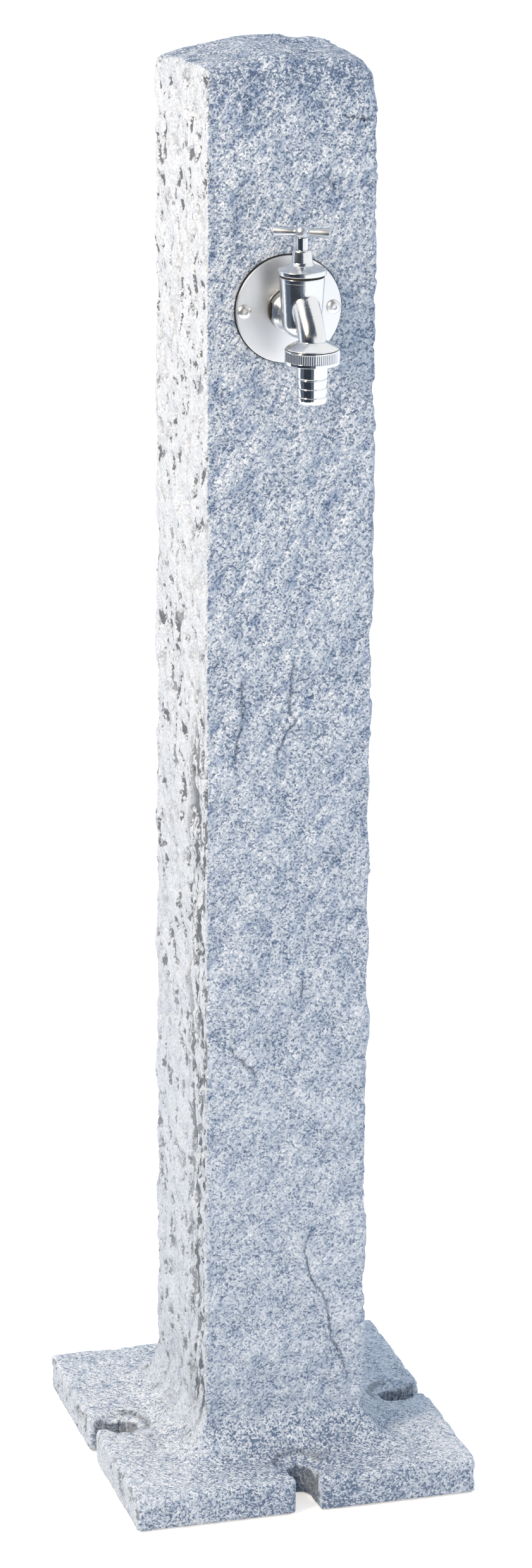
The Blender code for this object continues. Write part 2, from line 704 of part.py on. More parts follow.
def spout_point(share):
    """(reach, height) of the spout's middle line, a cubic curve from the barrel's axis to the outlet."""
    start = Vector((BARREL_REACH, SPOUT_ROOT))
    end = Vector((SPOUT_REACH, SPOUT_END))
    lead_out = start + Vector((SPOUT_LEAD_OUT, -SPOUT_LEAD_DOWN))
    lead_in = end + Vector((0, SPOUT_LEAD_DOWN))
    rest = 1 - share
    return rest**3 * start + 3 * rest**2 * share * lead_out + 3 * rest * share**2 * lead_in + share**3 * end


def spout_tube(name, root_radius, end_radius, resolution):
    curve = bpy.data.curves.new(name, "CURVE")
    curve.dimensions = "3D"
    curve.bevel_depth = 1
    curve.bevel_resolution = resolution
    curve.use_fill_caps = True
    spline = curve.splines.new("POLY")
    spline.points.add(SPOUT_STEPS)
    for i, point in enumerate(spline.points):
        share = i / SPOUT_STEPS
        reach, height = spout_point(share)
        point.co = (0, height, reach, 1)
        point.radius = root_radius + (end_radius - root_radius) * share
    return curve_to_mesh(name, curve, INLET)


def outlet_profile():
    neck = SPOUT_RADIUS + FLARE_STEP
    return [
        (0, FLARE_TOP),
        (neck, FLARE_TOP),
        (FLARE_RADIUS, FLARE_BOTTOM),
        (FLARE_RADIUS, FLARE_FOOT),
        (UNION_THREAD_RADIUS, FLARE_FOOT),
        (UNION_THREAD_RADIUS, UNION_THREAD_END),
        (0, UNION_THREAD_END),
    ]


def build_tap_body():
    body = turned("tap_body", barrel_profile(), CHROME, SPINDLE)
    stem = turned("inlet_stem", inlet_profile(), None, INLET)
    for side in (-1, 1):
        flat = COLLAR_RADIUS - COLLAR_FLAT_CUT
        size = (COLLAR_RADIUS, 2 * COLLAR_RADIUS, COLLAR_LENGTH)
        place = (side * (flat + COLLAR_RADIUS / 2), 0, COLLAR_BACK + COLLAR_LENGTH / 2)
        combine(stem, block(f"collar_flat_{side}", size, None, INLET, location=place))
    combine(body, stem, "UNION")
    combine(body, spout_tube("spout_outside", SPOUT_RADIUS + SPOUT_SWELL, SPOUT_RADIUS, 5), "UNION")
    combine(body, turned("outlet", outlet_profile(), None, SPOUT), "UNION")
    top = BARREL_TOP + CUT_OVER
    lower_top = VALVE_SEAT - SEAT_WEB
    combine(body, prism("chamber", CHAMBER_RADIUS, VALVE_SEAT, top, None, SPINDLE))
    low = lower_top - LOWER_CHAMBER_DEPTH
    combine(body, prism("lower_chamber", LOWER_CHAMBER_RADIUS, low, lower_top, None, SPINDLE))
    seat_top = VALVE_SEAT + CUT_OVER / 4
    combine(body, prism("seat_hole", SEAT_HOLE_RADIUS, low + CUT_OVER, seat_top, None, SPINDLE, SMALL_STEPS))
    back = -INLET_THREAD_LENGTH - CUT_OVER
    combine(body, prism("inlet_bore", INLET_BORE_RADIUS, back, BARREL_REACH, None, INLET, SMALL_STEPS))
    combine(body, spout_tube("spout_bore", SPOUT_BORE_RADIUS, SPOUT_BORE_RADIUS, 4))
    bore_bottom = UNION_THREAD_END - CUT_OVER
    combine(body, prism("outlet_bore", OUTLET_BORE_RADIUS, bore_bottom, FLARE_FOOT, None, SPOUT, SMALL_STEPS))
    washer_hole = INLET_THREAD_RADIUS + FIT_GAP
    washer("inlet_gasket", COLLAR_RADIUS, washer_hole, WASHER_BACK, INLET_WASHER, FIBRE, INLET)


# Headwork


def build_headwork():
    shank = CHAMBER_RADIUS - FIT_GAP
    thread_bore = SPINDLE_THREAD_RADIUS + FIT_GAP
    pocket = PACKING_RADIUS + FIT_GAP
    stem_bore = STEM_RADIUS + FIT_GAP
    pocket_top = PACKING_TOP + FIT_GAP
    profile = [
        (GLAND_RADIUS - GLAND_CHAMFER, GLAND_TOP),
        (GLAND_RADIUS, GLAND_TOP - GLAND_CHAMFER),
        (GLAND_RADIUS, CONE_TOP + GLAND_CHAMFER),
        (BONNET_NECK_RADIUS, CONE_TOP),
        (BONNET_RADIUS, FLANGE_TOP),
        (BONNET_RADIUS, BONNET_SEAT),
        (shank, BONNET_SEAT),
        (shank, SHANK_BOTTOM),
        (thread_bore, SHANK_BOTTOM),
        (thread_bore, POCKET_BOTTOM),
        (pocket, POCKET_BOTTOM),
        (pocket, pocket_top),
        (stem_bore, pocket_top),
        (stem_bore, GLAND_TOP),
    ]
    turned("bonnet", profile, CHROME, SPINDLE, ring=True)
    seal_bottom = BARREL_TOP + FIT_GAP
    washer("bonnet_gasket", BARREL_RADIUS, CHAMBER_RADIUS, seal_bottom, BONNET_SEAL, FIBRE, SPINDLE)
    packing_bottom = PACKING_TOP - PACKING_HEIGHT
    washer("stem_packing", PACKING_RADIUS, stem_bore, packing_bottom, PACKING_HEIGHT, PACKING, SPINDLE)
    build_spindle()
    build_valve()


def build_spindle():
    socket = JUMPER_STEM_RADIUS + FIT_GAP
    socket_top = JUMPER_STEM_TOP + FIT_GAP
    spigot_top = STEM_TOP + SPINDLE_SPIGOT
    profile = [
        (0, spigot_top),
        (SPINDLE_SPIGOT_RADIUS, spigot_top),
        (SPINDLE_SPIGOT_RADIUS, STEM_TOP),
        (STEM_RADIUS, STEM_TOP),
        (STEM_RADIUS, THREAD_TOP),
        (SPINDLE_THREAD_RADIUS, THREAD_TOP),
        (SPINDLE_THREAD_RADIUS, SPINDLE_BOTTOM),
        (socket, SPINDLE_BOTTOM),
        (socket, socket_top),
        (0, socket_top),
    ]
    turned("spindle", profile, CHROME, SPINDLE, steps=SMALL_STEPS)


def build_toggle():
    """The ball on the spindle and the two tapered arms that are pressed into it."""
    spigot_hole = SPINDLE_SPIGOT_RADIUS + FIT_GAP
    hole_top = SPINDLE_SPIGOT - BALL_FLAT
    lowest = -math.degrees(math.asin(BALL_FLAT / BALL_RADIUS))
    ball = [(0, BALL_RADIUS)] + arc((0, 0), BALL_RADIUS, 80, lowest, 10)
    ball += [(spigot_hole, -BALL_FLAT), (spigot_hole, hole_top), (0, hole_top)]
    hub = turned("toggle_hub", ball, CHROME, TOGGLE, steps=SMALL_STEPS)
    arm_hole = BAR_SPIGOT_RADIUS + FIT_GAP
    root = math.sqrt(BALL_RADIUS**2 - arm_hole**2) + FIT_GAP
    tip = BAR_LENGTH / 2
    spigot_end = spigot_hole + HUB_WEB + FIT_GAP
    arm = [
        (0, tip),
        (BAR_END_RADIUS - BAR_END_ROUND, tip),
        (BAR_END_RADIUS, tip - BAR_END_ROUND),
        (BAR_ROOT_RADIUS, root),
        (BAR_SPIGOT_RADIUS, root),
        (BAR_SPIGOT_RADIUS, spigot_end),
        (0, spigot_end),
    ]
    for side, turn in (("left", -QUARTER), ("right", QUARTER)):
        place = {"rotation": (0, turn, 0)}
        turned(f"toggle_arm_{side}", arm, CHROME, TOGGLE, steps=SMALL_STEPS, **place)
        low, high = spigot_end - FIT_GAP, BALL_RADIUS + CUT_OVER
        combine(hub, prism(f"arm_hole_{side}", arm_hole, low, high, None, TOGGLE, SMALL_STEPS, **place))


def build_valve():
    screw_hole = VALVE_SCREW_RADIUS + FIT_GAP
    hole_top = VALVE_SCREW_TOP + FIT_GAP
    jumper = [
        (0, JUMPER_STEM_TOP),
        (JUMPER_STEM_RADIUS, JUMPER_STEM_TOP),
        (JUMPER_STEM_RADIUS, JUMPER_TOP),
        (JUMPER_RADIUS, JUMPER_TOP),
        (JUMPER_RADIUS, JUMPER_BOTTOM),
        (screw_hole, JUMPER_BOTTOM),
        (screw_hole, hole_top),
        (0, hole_top),
    ]
    turned("valve_jumper", jumper, BRASS, SPINDLE, steps=SMALL_STEPS)
    washer(
        "valve_washer", WASHER_RADIUS, screw_hole, WASHER_BOTTOM, WASHER_THICKNESS, RUBBER, SPINDLE, SMALL_STEPS
    )
    head_bottom = VALVE_SEAT - VALVE_SCREW_HEAD
    screw = [
        (0, VALVE_SCREW_TOP),
        (VALVE_SCREW_RADIUS, VALVE_SCREW_TOP),
        (VALVE_SCREW_RADIUS, VALVE_SEAT),
        (VALVE_SCREW_HEAD_RADIUS, VALVE_SEAT),
        (VALVE_SCREW_HEAD_RADIUS, head_bottom),
        (0, head_bottom),
    ]
    turned("washer_screw", screw, BRASS, SPINDLE, steps=SMALL_STEPS)


# Union


def tail_profile():
    flange = UNION_THREAD_RADIUS - FIT_GAP
    neck_top = TAIL_TOP - TAIL_FLANGE
    barbs_top = neck_top - TAIL_NECK_LENGTH
    profile = [(flange, TAIL_TOP), (flange, neck_top), (TAIL_RADIUS, neck_top)]
    profile += [(TAIL_RADIUS, barbs_top + TAIL_GROOVE), (TAIL_RADIUS - BARB_DROP, barbs_top)]
    for i in range(BARB_COUNT):
        top = barbs_top - i * BARB_PITCH
        length = TAIL_END if i == BARB_COUNT - 1 else BARB_PITCH
        profile += [(TAIL_RADIUS, top - FIT_GAP), (TAIL_RADIUS - BARB_DROP, top - length)]
    bottom = profile[-1][1]
    return profile + [(TAIL_BORE_RADIUS, bottom), (TAIL_BORE_RADIUS, TAIL_TOP)]


def build_union():
    thread = UNION_THREAD_RADIUS + FIT_GAP
    lip = TAIL_RADIUS + FIT_GAP
    edge = NUT_RADIUS - NUT_EDGE
    nut = [
        (edge, NUT_TOP),
        (NUT_RADIUS, NUT_TOP - NUT_EDGE),
        (NUT_RADIUS, NUT_BOTTOM + NUT_EDGE),
        (edge, NUT_BOTTOM),
        (lip, NUT_BOTTOM),
        (lip, NUT_LIP_TOP),
        (thread, NUT_LIP_TOP),
        (thread, NUT_TOP),
    ]
    turned("union_nut", nut, CHROME, SPOUT, ring=True)
    turned("hose_tail", tail_profile(), CHROME, SPOUT, ring=True)
    flange = UNION_THREAD_RADIUS - FIT_GAP
    seal_bottom = UNION_SEAL_TOP - UNION_SEAL
    washer("union_gasket", flange, TAIL_BORE_RADIUS, seal_bottom, UNION_SEAL, RUBBER, SPOUT)


# Supply inside the post


def ribbed(top):
    """The outer side of a hose end that runs down from top, with evenly spaced ribs."""
    count = max(1, round(BARB_LENGTH / RIB_PITCH))
    step = BARB_LENGTH / count
    points = []
    for i in range(count):
        points.append((BARB_RADIUS - RIB_HEIGHT, top - i * step))
        points.append((BARB_RADIUS, top - i * step - step / 2))
    points.append((BARB_RADIUS - RIB_HEIGHT, top - BARB_LENGTH))
    return points


def build_elbow():
    rear = -ELBOW_REACH - ELBOW_LEG_RADIUS
    socket = [
        (0, ELBOW_FRONT),
        (ELBOW_RADIUS, ELBOW_FRONT),
        (ELBOW_RADIUS, ELBOW_SHOULDER - ELBOW_WALL),
        (ELBOW_LEG_RADIUS, ELBOW_SHOULDER - 2 * ELBOW_WALL),
        (ELBOW_LEG_RADIUS, rear),
        (0, rear),
    ]
    elbow = turned("elbow", socket, BRASS, INLET)
    leg_bottom = TAP_HEIGHT - ELBOW_DROP
    leg_radius = ELBOW_LEG_RADIUS - FIT_GAP
    leg = [(0, TAP_HEIGHT), (leg_radius, TAP_HEIGHT), (leg_radius, leg_bottom)]
    leg += ribbed(leg_bottom)
    leg.append((0, leg_bottom - BARB_LENGTH))
    combine(elbow, turned("elbow_leg", leg, None, RISER, steps=SMALL_STEPS), "UNION")
    thread_bore = INLET_THREAD_RADIUS + FIT_GAP
    front = ELBOW_FRONT + CUT_OVER
    combine(elbow, prism("elbow_socket", thread_bore, ELBOW_SHOULDER, front, None, INLET))
    across = prism("elbow_across", ELBOW_BORE_RADIUS, -ELBOW_REACH, front, None, INLET, SMALL_STEPS)
    combine(elbow, across)
    low = leg_bottom - BARB_LENGTH - CUT_OVER
    combine(elbow, prism("elbow_down", ELBOW_BORE_RADIUS, low, TAP_HEIGHT, None, RISER, SMALL_STEPS))
    washer_bottom = ELBOW_SHOULDER + FIT_GAP
    washer(
        "elbow_washer", INLET_THREAD_RADIUS, ELBOW_BORE_RADIUS, washer_bottom, ELBOW_WASHER, FIBRE, INLET
    )
    nut = hexagon("tap_backnut", BACKNUT_FLATS, BACKNUT_BACK, BACKNUT_FRONT, BRASS, INLET)
    over = BACKNUT_BACK - CUT_OVER
    combine(nut, prism("backnut_bore", thread_bore, over, CUT_OVER, None, INLET))


def build_clamp(end, middle):
    """A worm-drive hose clamp: a band with its screw housing, and the screw."""
    inner = HOSE_RADIUS + FIT_GAP
    outer = inner + CLAMP_BAND
    clamp = washer(f"clamp_{end}", outer, inner, middle - CLAMP_WIDTH / 2, CLAMP_WIDTH, STEEL, RISER)
    screw_hole = CLAMP_SCREW_RADIUS + FIT_GAP
    depth = 2 * (screw_hole + CLAMP_HOUSING_WALL)
    place = inner + depth / 2
    size = (CLAMP_HOUSING_LENGTH, depth, CLAMP_WIDTH)
    housing = block(f"clamp_housing_{end}", size, None, RISER, location=(0, place, middle))
    combine(clamp, housing, "UNION")
    lying = {"location": (0, place, middle), "rotation": (0, QUARTER, 0)}
    half = CLAMP_HOUSING_LENGTH / 2
    over = half + CUT_OVER
    combine(clamp, prism(f"clamp_hole_{end}", screw_hole, -over, over, None, RISER, SMALL_STEPS, **lying))
    head = half + FIT_GAP
    shank = [(0, head), (CLAMP_SCREW_RADIUS, head)]
    shank += [(CLAMP_SCREW_RADIUS, head - CLAMP_SCREW_LENGTH), (0, head - CLAMP_SCREW_LENGTH)]
    screw = turned(f"clamp_screw_{end}", shank, STEEL, RISER, steps=SMALL_STEPS, **lying)
    top = head + CLAMP_HEAD_HEIGHT
    low = head - FIT_GAP / 2
    hex_head = hexagon(f"clamp_head_{end}", CLAMP_HEAD_FLATS, low, top, None, RISER, **lying)
    combine(screw, hex_head, "UNION")


def build_supply():
    build_elbow()
    length = HOSE_TOP - HOSE_BOTTOM
    washer("riser_hose", HOSE_RADIUS, HOSE_BORE_RADIUS, HOSE_BOTTOM, length, RUBBER, RISER)
    build_clamp("top", HOSE_TOP - CLAMP_SET_IN)
    build_clamp("bottom", HOSE_BOTTOM + CLAMP_SET_IN)
    barb_top = SOCKET_FLANGE_TOP + BARB_LENGTH
    mouth_top = SOCKET_CLEARANCE + SOCKET_MOUTH_DEPTH
    socket = ribbed(barb_top)
    socket += [
        (SOCKET_FLANGE_RADIUS, SOCKET_FLANGE_TOP),
        (SOCKET_FLANGE_RADIUS, SOCKET_FLANGE_BOTTOM),
        (SOCKET_RADIUS, SOCKET_FLANGE_BOTTOM),
        (SOCKET_RADIUS, SOCKET_CLEARANCE),
        (SOCKET_MOUTH_RADIUS, SOCKET_CLEARANCE),
        (SOCKET_MOUTH_RADIUS, mouth_top),
        (ELBOW_BORE_RADIUS, mouth_top),
        (ELBOW_BORE_RADIUS, barb_top),
    ]
    turned("inlet_socket", socket, BRASS, RISER, ring=True)
    hole = SOCKET_RADIUS + FIT_GAP
    washer("socket_washer", SOCKET_FLANGE_RADIUS, hole, SOCKET_SEAL_BOTTOM, SOCKET_WASHER, RUBBER, RISER)
    nut_top = RECESS_DEPTH - FIT_GAP
    nut_bottom = nut_top - SOCKET_NUT_THICKNESS
    nut = hexagon("socket_backnut", SOCKET_NUT_FLATS, nut_bottom, nut_top, BRASS, RISER)
    over = nut_top + CUT_OVER
    combine(nut, prism("socket_nut_bore", hole, nut_bottom - CUT_OVER, over, None, RISER))


build_post()
build_rosette()
build_tap_body()
build_headwork()
build_toggle()
build_union()
build_supply()
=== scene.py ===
"""Looks of the garden water post: hewn granite-look post, chromed hose-union tap and a plain studio.

Laid out as an add-on, and run as a script around the packed part.
Metres, +Z up, the tap on the -Y side, the origin in the middle of the base's underside.
"""

import math

import bmesh
import bpy
from bpy.props import FloatProperty, FloatVectorProperty, IntProperty, PointerProperty
from mathutils import Matrix, Vector, noise


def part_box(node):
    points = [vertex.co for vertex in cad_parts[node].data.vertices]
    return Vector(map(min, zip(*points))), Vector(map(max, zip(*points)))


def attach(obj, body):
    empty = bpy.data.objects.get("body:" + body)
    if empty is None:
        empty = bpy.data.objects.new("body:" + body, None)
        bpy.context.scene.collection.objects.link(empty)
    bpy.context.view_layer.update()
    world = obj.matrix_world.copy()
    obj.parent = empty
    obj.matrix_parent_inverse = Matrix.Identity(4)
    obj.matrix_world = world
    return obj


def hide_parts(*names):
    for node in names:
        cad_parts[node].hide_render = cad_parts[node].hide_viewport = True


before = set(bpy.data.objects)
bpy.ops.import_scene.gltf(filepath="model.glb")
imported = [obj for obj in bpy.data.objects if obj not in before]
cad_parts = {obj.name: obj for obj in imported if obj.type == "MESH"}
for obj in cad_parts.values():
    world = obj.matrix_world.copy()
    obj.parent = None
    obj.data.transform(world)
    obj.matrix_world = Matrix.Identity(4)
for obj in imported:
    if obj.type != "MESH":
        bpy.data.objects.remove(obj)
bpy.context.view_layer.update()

bl_info = {
    "name": "Garden water post",
    "version": (1, 0, 0),
    "blender": (4, 5, 0),
    "location": "3D View > Sidebar > Water post",
    "description": "Dresses the packed water post: granite-look post, chromed tap, plain studio",
    "category": "Object",
}

MM = 0.001
MERGE = 0.00001
QUARTER = math.pi / 2
CUT_OVER = 0.004  # how far a cutter runs past what it cuts
FIT_GAP = 0.0003  # between two seated pieces, as in the solids
FINE_STEPS = 96  # facets round a turned piece
BORE_STEPS = 48
EDGE_SHARE = 0.45  # most of a side that a soft corner takes
SHARP_EDGE = 40  # degrees between two faces from which their edge stays sharp
NOISE_RANGE = (0.3, 0.7)  # where most values of a noise lie

# Places that the packed part gives
PLATE_LOW, PLATE_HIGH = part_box("rosette_plate")
SHELL_LOW, SHELL_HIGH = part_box("post_shell")
TAP_X = (PLATE_LOW.x + PLATE_HIGH.x) / 2
TAP_Z = (PLATE_LOW.z + PLATE_HIGH.z) / 2
PLATE_RADIUS = (PLATE_HIGH.x - PLATE_LOW.x) / 2
BASE_WIDTH = SHELL_HIGH.x - SHELL_LOW.x
BASE_DEPTH = SHELL_HIGH.y - SHELL_LOW.y
SCREW_LEFT, SCREW_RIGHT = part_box("rosette_screw_left"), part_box("rosette_screw_right")
SCREW_SPACING = (sum(SCREW_RIGHT, Vector()) - sum(SCREW_LEFT, Vector())).x / 2
SCREW_PLACES = (-SCREW_SPACING / 2, SCREW_SPACING / 2)
RISER_LOW, RISER_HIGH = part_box("riser_hose")
RISER_Y = (RISER_LOW.y + RISER_HIGH.y) / 2


def from_hex(text):
    """Linear RGBA of an sRGB hex colour."""
    parts = [int(text[i : i + 2], 16) / 255 for i in (1, 3, 5)]
    linear = [p / 12.92 if p <= 0.04045 else ((p + 0.055) / 1.055) ** 2.4 for p in parts]
    return (*linear, 1.0)


def length(name, description, default):
    return FloatProperty(name=name, description=description, default=default, unit="LENGTH", precision=5)


def angle(name, description, default):
    return FloatProperty(name=name, description=description, default=default, subtype="ANGLE")


def number(name, description, default, **unit):
    return FloatProperty(name=name, description=description, default=default, **unit)


def colour(name, description, text):
    return FloatVectorProperty(
        name=name, description=description, default=from_hex(text), subtype="COLOR", size=4, min=0, max=1
    )


class PostSizes(bpy.types.PropertyGroup):
    """Sizes of the hewn post."""

    width: length("Column width", "Across the front face", 0.114)
    depth: length("Column depth", "From the front face to the back", 0.130)
    height: length("Height", "Ground to the crown's highest point", 1.000)
    base_thickness: length("Base thickness", "Height of the base's edge", 0.0255)
    base_edge: length("Base edge", "Rounding of the base's edges", 0.0025)
    fillet: length("Foot fillet", "Sweep from the column into the base", 0.030)
    fillet_sink: length("Fillet sink", "How far the fillet dips into the base", 0.0006)
    peak_x: length("Peak across", "Place of the crown's highest point", -0.0038)
    peak_y: length("Peak along", "Place of the crown's highest point", -0.050)
    crown_fall_x: length("Crown fall across", "Fall from the peak over half the width", 0.0077)
    crown_fall_y: length("Crown fall along", "Fall from the peak over half the depth", 0.0027)
    crown_twist: length("Crown twist", "Lifts the back right corner", 0.0028)
    wall: length("Wall", "Thickness of the hollow moulding", 0.006)
    hewn_depth: length("Hewn depth", "How far the hewn faces wander", 0.0013)
    hewn_pitch: length("Hewn pitch", "Size of one hewn facet", 0.060)
    gouge_depth: length("Gouge depth", "Depth of the upright gouges in the side faces", 0.0022)
    gouge_width: length("Gouge width", "Width of a gouge", 0.017)
    gouge_length: length("Gouge length", "Length of a gouge", 0.055)
    gouge_edge: length("Gouge edge", "How near an upright edge a gouge dies out", 0.014)
    dent_depth: length("Dent depth", "Relief of the dents in the hewn faces", 0.0014)
    dent_pitch: length("Dent pitch", "Size of the dents", 0.024)
    chip_depth: length("Chip depth", "Relief of the small chips", 0.0008)
    chip_pitch: length("Chip pitch", "Size of the small chips", 0.010)
    pit_depth: length("Pit depth", "Depth of the pits in the side faces", 0.0022)
    pit_width: length("Pit width", "Size of the pits in the side faces", 0.0054)
    fissure_depth: length("Fissure depth", "Depth of the fissures beside the front edges", 0.0030)
    lip: length("Lip", "How far the front lies behind its left edge", 0.0009)
    deepest: length("Deepest", "Most that the rough skin is cut in", 0.0026)
    crown_chip: length("Crown chips", "How far the crown's chips are cut in", 0.0010)
    base_inset: length("Base inset", "Keeps the gridded base inside the solid's box", 0.0001)
    crack_depth: length("Crack depth", "Depth of the cracks in the front", 0.0011)
    crack_width: length("Crack width", "Half width of a crack", 0.0014)
    ledge: length("Ledge", "Step of the stone beside a crack", 0.0014)
    grid: length("Grid", "Spacing of the surface's points before thinning", 0.0019)
    triangles: IntProperty(name="Triangles", description="Most triangles of the rough skin", default=176000)


class SlotSizes(bpy.types.PropertyGroup):
    """Sizes of the four anchor slots and of the supply's recess."""

    width: length("Slot width", "Width of an anchor slot", 0.0163)
    inset: length("Slot inset", "Bolt centre from the base's side", 0.024)
    mouth: length("Slot mouth", "Rounding where a slot opens", 0.004)
    seat_radius: length("Seat radius", "Radius of the washer seat", 0.0174)
    seat_sink: length("Seat sink", "How far the seat is let into the base", 0.003)
    recess_radius: length("Recess radius", "Radius of the supply's recess", 0.02799)
    recess_depth: length("Recess depth", "Depth of the supply's recess", 0.010)
    socket_hole: length("Socket hole", "Radius of the supply socket's hole", 0.0173)
    wall_hole: length("Wall hole", "Radius of the hole behind the rosette", 0.024)
    insert_hole: length("Insert hole", "Radius of an insert's hole", 0.004)


class TapSizes(bpy.types.PropertyGroup):
    """Sizes of the tap, heights from the inlet's axis and reaches from the post's face."""

    barrel_reach: length("Barrel reach", "Post's face to the spindle's axis", 0.0335)
    barrel_radius: length("Barrel radius", "At its upper rim", 0.0147)
    barrel_waist: length("Barrel waist", "Radius at the waist", 0.0129)
    barrel_top: length("Barrel top", "Height of the rim", 0.0282)
    spout_reach: length("Spout reach", "Post's face to the outlet's axis", 0.058)
    spout_radius: length("Spout radius", "At the outlet", 0.00865)
    collar_radius: length("Collar radius", "Inlet collar", 0.0141)
    flare_radius: length("Flare radius", "Rim above the union nut", 0.0170)
    bonnet_radius: length("Bonnet radius", "Flange of the bonnet", 0.0158)
    gland_radius: length("Gland radius", "Neck of the bonnet", 0.0062)
    stem_radius: length("Stem radius", "Spindle above the gland", 0.00375)
    ball_radius: length("Ball radius", "Middle of the T-bar", 0.0048)
    bar_length: length("Bar length", "T-bar from end to end", 0.0368)
    bar_end: length("Bar end", "Radius of an arm's end", 0.0036)
    bar_root: length("Bar root", "Radius of an arm at the ball", 0.0025)
    bar_turn: angle("Bar turn", "Turn of the T-bar", math.radians(-28))
    nut_radius: length("Nut radius", "Over the knurl", 0.0178)
    rib_count: IntProperty(name="Ribs", description="Ribs of the straight knurl", default=76)
    rib_radius: length("Rib radius", "Half width of a rib", 0.00052)
    tail_radius: length("Tail radius", "Hose tail over its barbs", 0.0100)
    cast_grid: length("Casting grid", "Spacing of the casting's points", 0.0005)


class Finishes(bpy.types.PropertyGroup):
    """Colours of the finishes."""

    granite_dark: colour("Granite dark flecks", "Slate flecks in the moulding", "#6a7a93")
    granite_blue: colour("Granite blue flecks", "Blue-grey flecks in the moulding", "#a2aebf")
    granite_mid: colour("Granite ground", "Ground colour of the moulding", "#d2d7de")
    granite_pale: colour("Granite pale flecks", "Pale flecks in the moulding", "#dfe3e8")
    granite_white: colour("Granite white flecks", "White flecks in the moulding", "#f6f7f9")
    # painted shade in the hollows of the slanting strokes
    granite_stroke_shade: colour("Granite stain", "Blue shade in the hewn hollows", "#b3c2da")
    granite_hollow: colour("Granite hollows", "Shaded pits and cracks", "#454c58")
    chrome: colour("Chrome", "Polished and cast chrome", "#eceef0")
    satin: colour("Satin chrome", "T-bar", "#ccd4de")
    steel: colour("Stainless steel", "Rosette, screws and clamps", "#f0f1f2")
    brass: colour("Brass", "Fittings inside the post", "#b58d4c")
    brass_tarnish: colour("Brass tarnish", "Dull patches on the brass", "#7d5f33")
    rubber: colour("Rubber", "Seals and the riser hose", "#1d1e20")
    fibre: colour("Fibre", "Pressed fibre washers", "#37322f")
    packing: colour("Packing", "Stem packing", "#dedcd6")


class StudioSettings(bpy.types.PropertyGroup):
    """Camera, light and floor."""

    azimuth: angle("Azimuth", "Camera's turn to the left", 0.2794)
    elevation: angle("Elevation", "Camera's tilt down", 0.3116)
    roll: angle("Roll", "Camera's roll", 0.0051)
    distance: length("Distance", "Camera to its target", 3.5514)
    target: FloatVectorProperty(
        name="Target",
        description="Point that the camera looks at",
        default=(0.00285, 0, 0.48895),
        subtype="TRANSLATION",
    )
    lens: number("Lens", "Focal length in mm", 119.34, unit="CAMERA")
    fill: number("Fill", "Even light from all round", 0.83)
    key_power: number("Key", "Soft lamp on the left", 43, unit="POWER")
    fill_tint: colour("Fill tint", "Cool even light", "#dbebff")
    key_tint: colour("Key tint", "Warm lamp", "#ffebcf")
    floor: colour("Floor", "Pale floor", "#efefef")
    floor_lift: number("Floor lift", "Brings the seen floor up to white", 0.56)
    floor_glow: colour("Floor glow", "Evens out the cool fill on the seen floor", "#fff6ea")


# Nodes and meshes


class Field:
    """One output of a node. Reckoning with fields adds maths nodes to their tree."""

    def __init__(self, tree, socket):
        self.tree = tree
        self.socket = socket

    def math(self, operation, *others):
        return field(self.tree, "ShaderNodeMath", dict(enumerate((self, *others))), operation=operation)

    def __add__(self, other):
        return self.math("ADD", other)

    def __sub__(self, other):
        return self.math("SUBTRACT", other)

    def __mul__(self, other):
        return self.math("MULTIPLY", other)

    def __abs__(self):
        return self.math("ABSOLUTE")

    def __rsub__(self, other):
        return field(self.tree, "ShaderNodeMath", {0: other, 1: self}, operation="SUBTRACT")

    def __rtruediv__(self, other):
        return field(self.tree, "ShaderNodeMath", {0: other, 1: self}, operation="DIVIDE")

    def plus(self, value, share):
        """This field and a share of another value."""
        return field(self.tree, "ShaderNodeMath", {0: value, 1: share, 2: self}, operation="MULTIPLY_ADD")

    def most(self, other):
        return self.math("MAXIMUM", other)

    def least(self, other):
        return self.math("MINIMUM", other)

    def span(self, start, end, low=0.0, high=1.0, kind="LINEAR"):
        """Runs from low to high while this field runs from start to end."""
        inputs = {0: self, 1: start, 2: end, 3: low, 4: high}
        return field(self.tree, "ShaderNodeMapRange", inputs, interpolation_type=kind)

    def ease(self, start, end, low=0.0, high=1.0):
        """As span, with a soft start and end."""
        return self.span(start, end, low, high, "SMOOTHSTEP")

    def vector(self, operation, *others, output=0):
        inputs = dict(enumerate((self, *others)))
        return field(self.tree, "ShaderNodeVectorMath", inputs, output, operation=operation)

    def length(self):
        return self.vector("LENGTH", output="Value")

    def away(self, point, axes):
        """How far this place is from a point along the given axes."""
        return self.vector("SUBTRACT", point).vector("MULTIPLY", axes).length()

    def parts(self):
        """The three parts of a vector."""
        split = add(self.tree, "ShaderNodeSeparateXYZ", {0: self})
        return [Field(self.tree, socket) for socket in split.outputs]

    def noise(self, size, detail, roughness=0.5, output=0):
        """Noise at this place, in grains of this size."""
        inputs = {"Vector": self, "Scale": 1 / size, "Detail": detail, "Roughness": roughness}
        return field(self.tree, "ShaderNodeTexNoise", inputs, output)

    def slanted(self, turn, size):
        """This place in strokes of the given turn and size."""
        inputs = {"Vector": self, "Rotation": turn, "Scale": size}
        return field(self.tree, "ShaderNodeMapping", inputs, vector_type="TEXTURE")

    def mixed(self, first, second):
        """Two values mixed by this share."""
        return field(self.tree, "ShaderNodeMix", {0: self, 2: first, 3: second})

    def tinted(self, first, second, blend="MIX"):
        """Two colours mixed by this share."""
        inputs = {0: self, 6: first, 7: second}
        return field(self.tree, "ShaderNodeMix", inputs, 2, data_type="RGBA", blend_type=blend)

    def bump(self, strength, distance):
        inputs = {"Height": self, "Strength": strength, "Distance": distance}
        return field(self.tree, "ShaderNodeBump", inputs)


